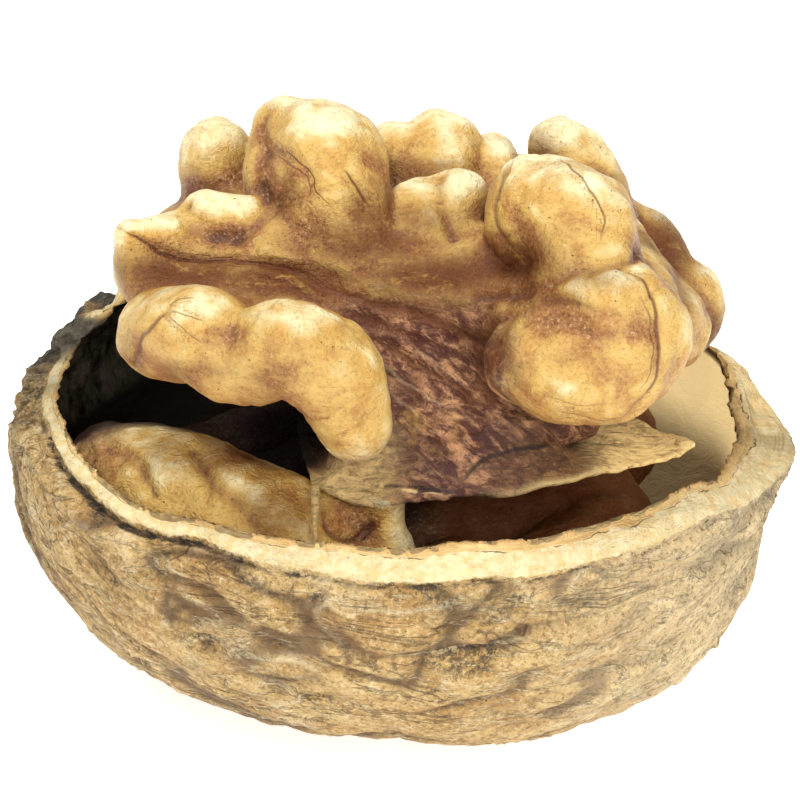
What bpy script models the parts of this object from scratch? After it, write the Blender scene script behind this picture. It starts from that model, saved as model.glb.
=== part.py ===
"""A cracked walnut: half of its woody shell with the kernel still in it.

The nut lies on the round of its shell, with its long axis along X and the pointed tip of the shell at +X.
Four pieces are built, each grown as one body: the half shell, the lower half of the kernel that fills it,
the papery partition that lay between the kernel's halves, and the upper half, lifted and standing on it.
Lengths below are millimetres, and MM turns them into Blender's metres. Z is 0 where the shell rests.
"""

import math

import bmesh
import bpy
import numpy as np

MM = 0.001

# Shell: driving dimensions
STEM_REACH = 21.2  # from the middle to the blunt stem end, along -X
TIP_REACH = 20.0  # from the middle to the pointed end, along +X, without the tip's beak
STEM_TAPER = 1.1  # how much shorter that reach is near the underside
HALF_WIDTH = 16.6
GIRTH_HEIGHT = 14.2  # height of the widest ring
DOME_HEIGHT = 12.6  # how far above the girth the whole nut would have reached
WALL = 1.4
RIM_BEVEL = 1.4  # the broken edge slopes: its outer side lies this much lower
TIP_BEAK = 1.7  # how far the beak stands out of the tip
REST_DEPTH = 0.22  # what the flat resting spot takes off the round underside
GROOVE_DEPTH = 0.45

# The nut is drawn about its own middle. This moves it, so that the flat spot is at 0 and the nut is centred.
ORIGIN_SHIFT = (-0.15, 0.0, -REST_DEPTH)

# Gaps and walls between the pieces
FIT_GAP = 0.3
PARTITION_THICKNESS = 0.7

# Fineness of the meshes
AROUND = 176
OUTER_ROWS = 40
INNER_ROWS = 14
LOBE_VOXEL = 0.42
SEGMENTS_PER_RADIUS = 2.5


# Lobes of the kernel: points (x, y, z, radius) along the middle of each fold
UPPER_LOBES = {
    "crown_left": [(-4.0, 1.0, 31.5, 3.2), (-3.4, -1.0, 29.8, 2.9), (-2.6, -2.0, 27.1, 2.6)],
    "crown_left_shoulder": [(-6.1, 3.0, 32.4, 1.9), (-6.2, 1.5, 30.7, 2.2), (-5.3, 0.0, 28.5, 2.4)],
    "back_left_knob": [(-10.0, 6.0, 29.4, 2.2), (-9.5, 5.0, 27.4, 2.2), (-8.5, 3.0, 25.0, 3.0)],
    "small_knob": [(-9.8, -1.0, 28.8, 1.7), (-7.9, -1.0, 28.3, 1.8), (-5.8, -1.5, 27.1, 2.0)],
    "wing": [(-13.9, -4.0, 29.5, 1.0), (-11.7, -3.0, 29.0, 1.3), (-9.7, -2.5, 28.0, 1.5)],
    "brow": [
        (-13.8, -3.9, 28.3, 0.9),
        (-9.5, -4.6, 27.1, 1.0),
        (-6.0, -5.0, 26.5, 1.0),
        (-2.0, -5.1, 26.1, 1.0),
        (2.0, -4.8, 25.7, 1.1),
        (5.0, -5.2, 25.9, 1.4),
    ],
    "brow_flank": [(-11.8, -2.4, 27.8, 1.7), (-8.5, -2.6, 26.9, 2.2), (-4.0, -2.6, 26.6, 2.6), (0.5, -2.6, 26.3, 2.6), (4.5, -2.6, 26.5, 2.6)],
    "left_cheek": [(-12.9, -3.6, 26.8, 1.9), (-9.5, -4.4, 25.3, 2.2), (-6.0, -5.2, 24.0, 2.4), (-3.0, -5.0, 23.0, 2.4)],
    "bean": [
        (-12.6, -7.0, 25.1, 2.2),
        (-10.2, -9.0, 26.1, 2.5),
        (-7.9, -10.2, 25.6, 2.5),
        (-5.6, -10.8, 26.3, 2.4),
        (-3.5, -11.0, 25.0, 2.5),
        (-2.5, -10.8, 22.2, 2.1),
    ],
    "bean_root": [(-10.5, -7.5, 25.2, 2.0), (-7.5, -7.0, 24.5, 2.4), (-4.0, -7.5, 24.5, 2.2)],
    "cheek_low": [(6.6, -9.5, 24.8, 2.3), (8.6, -10.5, 24.7, 2.6), (11.2, -10.2, 24.8, 2.6)],
    "cheek_right": [(8.2, -8.0, 27.0, 2.3), (10.7, -8.8, 28.0, 2.6), (12.5, -8.8, 26.0, 2.5)],
    "cheek_root": [(7.5, -6.0, 25.5, 3.0), (11.5, -5.5, 25.5, 3.2)],
    "crown_right": [(7.3, -3.5, 30.4, 3.0), (9.0, -4.5, 30.2, 3.2), (9.8, -6.5, 28.9, 2.6)],
    "middle_knob": [(2.9, 0.5, 29.4, 1.7), (2.1, -1.0, 28.4, 2.0), (2.4, -2.5, 26.2, 2.1)],
    "middle_knob_left": [(0.8, 0.5, 29.1, 1.4), (0.5, -1.0, 27.8, 1.9), (0.3, -2.5, 25.7, 2.1)],
    "back_crown": [(2.3, 7.0, 29.8, 2.0), (2.2, 5.0, 28.6, 2.2), (2.0, 4.0, 26.0, 3.0)],
    "back_crown_right": [(5.1, 8.0, 28.8, 1.2), (4.9, 6.0, 28.2, 1.6), (4.5, 5.0, 26.0, 2.2)],
    "back_crown_left": [(-0.4, 6.0, 30.0, 1.5), (-0.3, 5.0, 28.0, 1.8), (-0.5, 4.0, 26.0, 2.2)],
    "tall_right": [(8.8, 6.0, 30.0, 1.8), (10.2, 5.7, 28.7, 1.8), (10.9, 5.0, 27.0, 1.8), (11.0, 4.0, 25.0, 2.4)],
    "tall_right_root": [(9.0, 5.5, 28.5, 1.8), (9.0, 4.5, 26.0, 2.6)],
    "right_fold": [(12.0, 6.0, 25.4, 1.6), (13.7, 5.0, 24.9, 1.6), (14.3, 4.0, 23.4, 1.6), (13.6, 3.0, 21.8, 2.0)],
    "right_end": [(14.8, 4.2, 22.9, 1.5), (16.1, 3.8, 22.4, 1.4), (16.2, 3.5, 20.9, 1.4), (15.2, 3.0, 19.9, 1.5)],
    "right_top_fold": [(12.6, -0.5, 25.0, 1.9), (11.2, 2.0, 26.0, 1.9), (8.6, 3.0, 26.8, 1.9)],
    "top_fold": [(4.6, 1.0, 27.4, 1.6), (6.6, 2.4, 27.6, 1.7), (6.4, 4.6, 27.0, 1.8)],
    "top_fold_left": [(-6.6, 4.6, 28.2, 1.7), (-4.4, 5.6, 28.0, 1.8), (-3.0, 7.6, 27.0, 1.9)],
    "right_front": [(12.8, -4.0, 24.0, 2.2), (14.4, -1.0, 22.8, 2.2), (14.3, 2.0, 21.5, 2.2)],
    "left_back_fold": [(-11.2, 1.0, 26.3, 2.2), (-11.2, 4.2, 25.4, 2.2), (-10.0, 6.6, 23.6, 2.2), (-8.2, 8.0, 21.4, 2.2)],
    "back_fold_left": [(-7.6, 7.4, 27.2, 2.2), (-5.4, 9.4, 25.6, 2.4), (-5.6, 10.6, 22.8, 2.4), (-4.2, 10.6, 20.2, 2.3)],
    "back_fold_middle": [(-3.2, 8.6, 27.6, 1.9), (-1.4, 10.2, 25.2, 2.2), (-1.6, 11.2, 22.4, 2.2), (0.2, 10.9, 19.9, 2.2)],
    "back_fold_right": [(1.2, 8.8, 27.0, 2.0), (3.6, 9.9, 25.4, 2.3), (2.8, 11.2, 22.8, 2.2), (4.4, 10.6, 20.0, 2.3)],
    "back_fold_far_right": [(6.6, 8.8, 26.3, 2.0), (9.2, 8.8, 24.6, 2.3), (7.6, 10.2, 22.4, 2.2), (8.8, 9.3, 19.9, 2.2)],
    "back_right_end": [(12.2, 6.8, 23.4, 2.2), (11.8, 7.6, 21.4, 2.1), (12.8, 6.6, 19.9, 2.0)],
    "core_front": [(-9.0, 0.5, 23.5, 4.2), (-4.0, 0.5, 22.8, 4.8), (3.0, 0.5, 22.4, 4.8), (9.0, 0.0, 23.0, 4.6), (12.0, 1.0, 22.6, 3.4)],
    "core_back": [(-8.0, 5.0, 22.5, 3.9), (-2.0, 6.0, 22.2, 4.6), (4.0, 6.0, 22.0, 4.6), (10.0, 4.5, 22.0, 3.9)],
    "throat": [(-2.5, -3.0, 24.0, 3.0), (0.5, -3.0, 24.0, 3.0), (3.5, -2.8, 23.8, 3.0)],
    "throat_low": [(-2.5, -3.6, 21.4, 3.2), (1.0, -3.8, 21.2, 3.3), (5.0, -3.2, 21.4, 3.3)],
    "skirt": [(-3.4, -5.6, 19.4, 2.3), (0.5, -6.4, 19.1, 2.3), (4.5, -6.0, 19.2, 2.3), (8.6, -4.6, 19.9, 2.3)],
}
LOWER_LOBES = {
    "front_left": [(-15.0, -3.6, 14.8, 3.2), (-12.4, -6.2, 15.2, 3.7), (-8.5, -8.5, 14.6, 3.9), (-5.6, -9.8, 13.9, 3.4)],
    "front_left_bump": [(-13.2, -4.6, 16.6, 2.2), (-10.6, -6.4, 17.0, 1.8), (-8.2, -6.6, 16.6, 1.8)],
    "stem_end": [(-15.4, -1.0, 12.0, 3.2), (-15.2, 3.0, 12.2, 3.2)],
    "middle_ball": [(-2.9, -7.5, 15.7, 1.4), (-2.8, -7.5, 13.8, 2.0), (-2.6, -6.5, 11.5, 3.0)],
    "pillar": [(-0.9, -9.2, 17.0, 1.3), (-0.9, -9.5, 15.2, 1.5), (-1.1, -9.6, 12.6, 2.4)],
    "front_right": [(2.5, -7.0, 9.6, 3.6), (7.5, -7.0, 9.4, 3.8), (11.5, -4.5, 9.8, 3.6)],
    "deep_lumps": [(2.4, -6.0, 12.4, 1.6), (5.2, -7.2, 12.0, 1.5), (8.2, -5.6, 12.6, 1.7), (11.0, -3.0, 12.6, 1.8)],
    "back_left": [(-14.2, 4.6, 13.0, 3.2), (-11.0, 7.8, 13.0, 3.5), (-6.5, 9.6, 13.4, 3.6)],
    "back_middle": [(-2.0, 10.2, 13.4, 3.5), (3.0, 10.2, 13.2, 3.5)],
    "back_right": [(7.5, 8.8, 12.8, 3.5), (11.2, 6.0, 12.2, 3.3)],
    "core": [(-10.0, 0.0, 9.0, 5.0), (-3.0, 0.0, 8.2, 5.6), (4.0, 0.0, 8.0, 5.6), (9.5, 0.0, 9.0, 4.8)],
    "core_high": [(-9.0, 0.0, 13.0, 4.0), (-3.0, 1.0, 13.5, 3.8), (3.0, 2.0, 13.0, 3.6), (8.0, 2.0, 12.5, 3.4)],
}

# Partition: plan outline (x, y) of the sheet, and the upright fin under it
PARTITION_CENTRE = (3.0, -1.0)
PARTITION_OUTLINE = [
    (15.6, -5.3),
    (12.6, -6.9),
    (8.3, -9.0),
    (3.1, -9.9),
    (-1.0, -10.0),
    (-4.4, -9.2),
    (-5.4, -4.0),
    (-5.0, 2.5),
    (-1.0, 6.6),
    (5.0, 6.8),
    (10.4, 3.4),
    (12.9, -2.4),
]
PARTITION_HEIGHT = 17.5
FIN_X = -4.4
FIN_Y = (-12.6, -6.0)
FIN_Z = (11.5, 17.6)


def clear_scene():
    for obj in list(bpy.data.objects):
        bpy.data.objects.remove(obj)


def material(name, colour, roughness):
    """A plain finish: base colour and roughness, not metallic."""
    made = bpy.data.materials.new(name)
    made.use_nodes = True
    shader = made.node_tree.nodes["Principled BSDF"]
    shader.inputs["Base Color"].default_value = (*colour, 1.0)
    shader.inputs["Roughness"].default_value = roughness
    shader.inputs["Metallic"].default_value = 0.0
    return made


def near(angle, at_degrees, width_degrees):
    """A smooth bump round the shell: 1 at one polar angle, falling to 0 on both sides."""
    off = np.abs((angle - math.radians(at_degrees) + math.pi) % (2 * math.pi) - math.pi)
    return np.exp(-((off / math.radians(width_degrees)) ** 2))


def rim_height(angle):
    """Height of the rim's inner edge: a tilted plane, with the places where the shell broke higher or lower."""
    tilted = 17.3 - 1.7 * np.cos(angle)
    broken = 0.12 * np.sin(9 * angle + 1.0) + 0.08 * np.sin(17 * angle)
    return (
        tilted
        + broken
        + 3.3 * near(angle, 149, 18)
        + 1.9 * near(angle, 34, 24)
        - 0.9 * near(angle, 232, 32)
        + 1.5 * near(angle, 318, 26)
    )


def shell_ring(angle, height):
    """Point on the smooth outer surface: superellipse rings whose size follows another one in height."""
    cos, sin = np.cos(angle), np.sin(angle)
    share = np.where(height > GIRTH_HEIGHT, (height - GIRTH_HEIGHT) / DOME_HEIGHT, 1 - height / GIRTH_HEIGHT)
    power = 2.08 + 0.57 * np.clip(cos, 0, 1) ** 0.5
    size = np.clip(1 - np.abs(share) ** power, 0, 1) ** (1 / power)
    squareness = 2.15
    ring = size * (np.abs(cos) ** squareness + np.abs(sin) ** squareness) ** (-1 / squareness)
    low = np.clip(1 - height / GIRTH_HEIGHT, 0, 1)
    reach = np.where(cos < 0, STEM_REACH - STEM_TAPER * low, TIP_REACH)
    beak = TIP_BEAK * near(angle, 0, 11) * np.exp(-(((height - 15.2) / 1.9) ** 2))
    beak = beak + 1.0 * near(angle, 22, 15) * np.clip(height / 15, 0, 1)
    return np.stack([(reach * ring + beak) * cos, HALF_WIDTH * ring * sin, height], -1)


def waves(points, rows):
    """A smooth uneven field from -1 to 1: the mean of sines, each row a wave's x, y, z frequency and its phase."""
    field = sum(np.sin(points @ np.array(row[:3]) + row[3]) for row in rows)
    return field / len(rows)


def groove_relief(points):
    """Depth of the shell's net of grooves: each runs where a smooth field crosses zero, mostly along the nut."""
    bend = 0.9 * waves(points, [(0.31, 0.22, 0.11, 0.4), (0.13, -0.27, 0.35, 2.0)])
    along = waves(points, [(0.16, 0.62, 0.35, 0.3), (-0.22, 0.33, -0.66, 1.7), (0.28, -0.41, 0.52, 4.1)]) + 0.2 * bend
    across = waves(points, [(0.52, 0.21, 0.18, 2.6), (-0.35, 0.46, 0.24, 0.9), (0.44, -0.16, -0.42, 3.3)]) + 0.2 * bend
    grooves = np.exp(-((along / 0.12) ** 2)) + 0.7 * np.exp(-((across / 0.11) ** 2))
    return -GROOVE_DEPTH * np.clip(grooves, 0, 1.2) + 0.35 * along


def closed_grid(rows):
    """A closed mesh from rings of points, each ring the same number of points, ended by one pole point at each side."""
    mesh = bmesh.new()
    first = mesh.verts.new(rows[0].mean(0))
    rings = [[mesh.verts.new(point) for point in ring] for ring in rows[1:-1]]
    last = mesh.verts.new(rows[-1].mean(0))
    count = len(rings[0])
    for j in range(count):
        k = (j + 1) % count
        mesh.faces.new((first, rings[0][j], rings[0][k]))
        for low, high in zip(rings, rings[1:]):
            mesh.faces.new((low[j], high[j], high[k], low[k]))
        mesh.faces.new((rings[-1][k], rings[-1][j], last))
    bmesh.ops.recalc_face_normals(mesh, faces=mesh.faces)
    return mesh


def to_object(name, mesh, finish=None, helper=False):
    """Turns a bmesh in millimetres into an object in metres. A helper is only a cutter and isn't part of the nut."""
    bmesh.ops.translate(mesh, vec=ORIGIN_SHIFT, verts=mesh.verts)
    bmesh.ops.scale(mesh, vec=(MM, MM, MM), verts=mesh.verts)
    data = bpy.data.meshes.new(name)
    mesh.to_mesh(data)
    mesh.free()
    data.shade_smooth()
    obj = bpy.data.objects.new(name, data)
    bpy.context.scene.collection.objects.link(obj)
    if finish:
        data.materials.append(finish)
    if helper:
        obj.hide_render = True
        obj.display_type = "WIRE"
    return obj


def add_boolean(obj, cutter, operation="DIFFERENCE"):
    modifier = obj.modifiers.new(operation.lower(), "BOOLEAN")
    modifier.operation = operation
    modifier.object = cutter
    modifier.solver = "EXACT"


def add_decimate(obj, ratio):
    modifier = obj.modifiers.new("fewer_faces", "DECIMATE")
    modifier.ratio = ratio


def box(name, low, high):
    """A plain box between two corners, used as a cutter."""
    mesh = bmesh.new()
    bmesh.ops.create_cube(mesh, size=1.0)
    size = [b - a for a, b in zip(low, high)]
    middle = [(a + b) / 2 for a, b in zip(low, high)]
    bmesh.ops.scale(mesh, vec=size, verts=mesh.verts)
    bmesh.ops.translate(mesh, vec=middle, verts=mesh.verts)
    return to_object(name, mesh, helper=True)


def outer_rows(angle):
    """Rings from the middle of the underside up to the rim's outer edge, with the grooves pressed in."""
    top = rim_height(angle) - RIM_BEVEL
    rows = []
    for share in np.linspace(0, 1, OUTER_ROWS):
        height = top * (1 - math.cos(share * math.pi / 2)) ** 1.0
        points = shell_ring(angle, height)
        middle = np.array([0.0, 0.0, GIRTH_HEIGHT])
        outward = points - middle
        outward /= np.linalg.norm(outward, axis=1, keepdims=True)
        fade = min(1.0, 6 * (1 - share), 4 * share)
        rows.append(points + outward * (groove_relief(points) * fade)[:, None])
    return rows


def wall_at(angle):
    """Thickness of the wall at its rim: it is thicker at the pointed tip, where the two halves were joined."""
    return WALL + 1.9 * near(angle, 0, 16)


def inner_rows(angle, gap=0.0, rows=INNER_ROWS):
    """Rings of the smooth inside, from the rim's inner edge down to its middle. A gap moves them inwards."""
    top = rim_height(angle)
    made = []
    floor = WALL + gap
    for share in np.linspace(1, 0, rows):
        rise = 1 - math.cos(share * math.pi / 2)
        height = top * rise
        points = shell_ring(angle, height)
        thick = WALL + gap + (wall_at(angle) - WALL) * share**4
        flat = np.hypot(points[:, 0], points[:, 1])
        inset = np.clip(1 - thick / np.maximum(flat, 1e-6), 0, 1)
        points[:, :2] *= inset[:, None]
        points[:, 2] = floor + (top - floor) * rise
        made.append(points)
    return made


def make_shell(finish):
    angle = np.linspace(0, 2 * math.pi, AROUND, endpoint=False)
    shell = to_object("shell_half", closed_grid(outer_rows(angle) + inner_rows(angle)), finish)
    add_decimate(shell, 0.27)
    ground = box("ground_cutter", (-30, -30, -5), (30, 30, REST_DEPTH))
    add_boolean(shell, ground)
    return shell


def make_cavity():
    """The hollow that the lower kernel may fill, carried on straight up above the rim."""
    angle = np.linspace(0, 2 * math.pi, 64, endpoint=False)
    rows = inner_rows(angle, gap=FIT_GAP)
    lid = rows[0].copy()
    lid[:, 2] += 8.0
    return to_object("cavity_cutter", closed_grid([lid, lid, *rows]), helper=True)


def smooth_path(points):
    """Points every part of a radius along a smooth curve through the given ones (Catmull-Rom), radius included."""
    p = np.array(points, float)
    ends = np.vstack([2 * p[0] - p[1], p, 2 * p[-1] - p[-2]])
    made = []
    for a, b, c, d in zip(ends, ends[1:], ends[2:], ends[3:]):
        steps = max(1, math.ceil(np.linalg.norm(c[:3] - b[:3]) / min(b[3], c[3]) * SEGMENTS_PER_RADIUS))
        t = np.arange(steps)[:, None] / steps
        made.append(0.5 * (2 * b + (c - a) * t + (2 * a - 5 * b + 4 * c - d) * t**2 + (3 * b - a - 3 * c + d) * t**3))
    return np.vstack([*made, p[-1:]])


def lobes_object(name, lobes, finish=None, grow=0.0, voxel=LOBE_VOXEL):
    """Every fold as a row of overlapping balls along its path, fused into one body by a voxel remesh."""
    mesh = bmesh.new()
    for points in lobes.values():
        for x, y, z, radius in smooth_path(points):
            ball = bmesh.ops.create_icosphere(mesh, subdivisions=2, radius=radius + grow)
            bmesh.ops.translate(mesh, vec=(x, y, z), verts=ball["verts"])
    obj = to_object(name, mesh, finish, helper=finish is None)
    fuse = obj.modifiers.new("fuse", "REMESH")
    fuse.mode = "VOXEL"
    fuse.voxel_size = voxel * MM
    soften = obj.modifiers.new("soften", "SMOOTH")
    soften.factor = 0.5
    soften.iterations = 3
    return obj


def partition_height(x, y):
    """The sheet is dished: lowest along its front edge, rising to the back, with a slow wave."""
    back = np.clip(y + 9.9, 0, None)
    return PARTITION_HEIGHT + 0.016 * back**1.6 + 0.25 * np.sin(0.45 * x + 0.3 * y) * np.clip(back / 4, 0, 1)


def partition_outline(grow):
    """The sheet's edge: a smooth closed curve through its points, pushed outwards by grow."""
    corners = np.array(PARTITION_OUTLINE, float)
    middle = np.array(PARTITION_CENTRE)
    away = corners - middle
    corners = corners + away / np.linalg.norm(away, axis=1, keepdims=True) * grow
    count = len(corners)
    made = []
    for i in range(count):
        a, b, c, d = (corners[(i + k) % count] for k in (-1, 0, 1, 2))
        sharp = 0.15 if i in (0, count - 1) else 0.5
        for t in np.arange(5) / 5:
            made.append(
                (2 * t**3 - 3 * t**2 + 1) * b
                + (t**3 - 2 * t**2 + t) * (c - a) * sharp
                + (-2 * t**3 + 3 * t**2) * c
                + (t**3 - t**2) * (d - b) * sharp
            )
    return np.array(made)


def sheet_slab(name, finish, grow, above, below):
    """The partition's sheet as a closed slab, so far above and below its middle surface."""
    edge = partition_outline(grow)
    middle = np.array(PARTITION_CENTRE)

    def layer(offset, shares):
        rings = []
        for share in shares:
            plan = middle + (edge - middle) * share
            rings.append(np.column_stack([plan, partition_height(plan[:, 0], plan[:, 1]) + offset]))
        return rings

    shares = (0.0, 0.2, 0.4, 0.6, 0.8, 1.0)
    rows = layer(above, shares) + layer(-below, shares[::-1])
    return to_object(name, closed_grid(rows), finish, helper=finish is None)


def make_partition(name, finish=None, grow=0.0):
    half = PARTITION_THICKNESS / 2 + grow
    sheet = sheet_slab(name, finish, grow, half, half)
    fin = box(
        name + "_fin",
        (FIN_X - half, FIN_Y[0] - grow, FIN_Z[0] - grow),
        (FIN_X + half, FIN_Y[1] + grow, FIN_Z[1]),
    )
    add_boolean(sheet, fin, "UNION")
    return sheet


def main():
    clear_scene()
    shell_finish = material("shell", (0.55, 0.38, 0.20), 0.75)
    kernel_finish = material("kernel", (0.72, 0.46, 0.17), 0.45)
    partition_finish = material("partition", (0.33, 0.18, 0.09), 0.7)
    make_shell(shell_finish)
    upper = lobes_object("kernel_upper", UPPER_LOBES, kernel_finish)
    lower = lobes_object("kernel_lower", LOWER_LOBES, kernel_finish)
    make_partition("partition", partition_finish)
    add_boolean(upper, sheet_slab("seat_cutter", None, FIT_GAP, PARTITION_THICKNESS / 2 + FIT_GAP, 6.0))
    add_boolean(lower, make_cavity(), "INTERSECT")
    add_boolean(lower, make_partition("partition_cutter", grow=FIT_GAP))
    add_boolean(lower, lobes_object("upper_cutter", UPPER_LOBES, grow=FIT_GAP, voxel=0.6))
    add_decimate(upper, 0.145)
    add_decimate(lower, 0.1)


main()
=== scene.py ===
"""Looks of a cracked walnut: the grooved half shell, the kernel in it and the kernel standing on it.

Each piece replaces the CAD node of the same form. Shapes are worked out in millimetres and stored in metres.
"""

import math

import bpy
import numpy as np
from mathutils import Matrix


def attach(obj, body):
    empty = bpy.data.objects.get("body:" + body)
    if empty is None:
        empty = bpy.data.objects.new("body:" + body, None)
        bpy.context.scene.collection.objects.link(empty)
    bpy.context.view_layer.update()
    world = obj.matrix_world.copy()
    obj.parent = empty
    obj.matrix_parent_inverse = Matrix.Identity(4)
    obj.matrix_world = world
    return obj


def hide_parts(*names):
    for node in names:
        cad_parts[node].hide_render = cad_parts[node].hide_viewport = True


bl_info = {
    "name": "Walnut in half shell",
    "version": (1, 0, 0),
    "blender": (4, 5, 0),
    "location": "3D View > Sidebar > Walnut",
    "description": "Makes a cracked walnut's shell, kernel and partition around its packed CAD model",
    "category": "Object",
}

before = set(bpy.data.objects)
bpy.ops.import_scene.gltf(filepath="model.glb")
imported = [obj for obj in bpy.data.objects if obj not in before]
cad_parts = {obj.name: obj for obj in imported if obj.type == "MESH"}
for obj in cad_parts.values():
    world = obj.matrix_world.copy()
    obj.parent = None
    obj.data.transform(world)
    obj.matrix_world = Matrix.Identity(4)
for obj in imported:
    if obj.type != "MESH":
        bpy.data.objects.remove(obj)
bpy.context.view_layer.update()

MM = 0.001
BODY = "root"

# The shell's driving dimensions in millimetres, as the CAD model has them
STEM_REACH = 21.2
STEM_TAPER = 1.1
TIP_REACH = 20.0
HALF_WIDTH = 16.6
GIRTH_HEIGHT = 14.2
DOME_HEIGHT = 12.6
WALL = 1.4
RIM_BEVEL = 1.4
TIP_BEAK = 1.7
REST_DEPTH = 0.22
ORIGIN_SHIFT = np.array([-0.15, 0.0, -REST_DEPTH])

# The cleft's side is seen from 27 degrees above level: that angle's cosine and sine, and the height aimed at
SLOPE_COS = 0.891
SLOPE_SIN = 0.454
AIM_HEIGHT = 17.8

# Fineness of the shell's grid
AROUND = 560
OUTER_ROWS = 112
RIM_ROWS = 15
INNER_ROWS = 44

# Random fields: cells before they repeat, a shift in cells of every place, and their strength
FIELD_CELLS = 16
FIELD_SHIFT = 50.0
FIELD_GAIN = 1.6

# Kernel: steps that move its mesh onto the folds, and rounds of smoothing behind its marks
SETTLE_STEPS = 5
FOLD_ROUNDS = 8
HOLLOW_ROUNDS = 70
VALLEY_ROUNDS = 230

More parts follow.
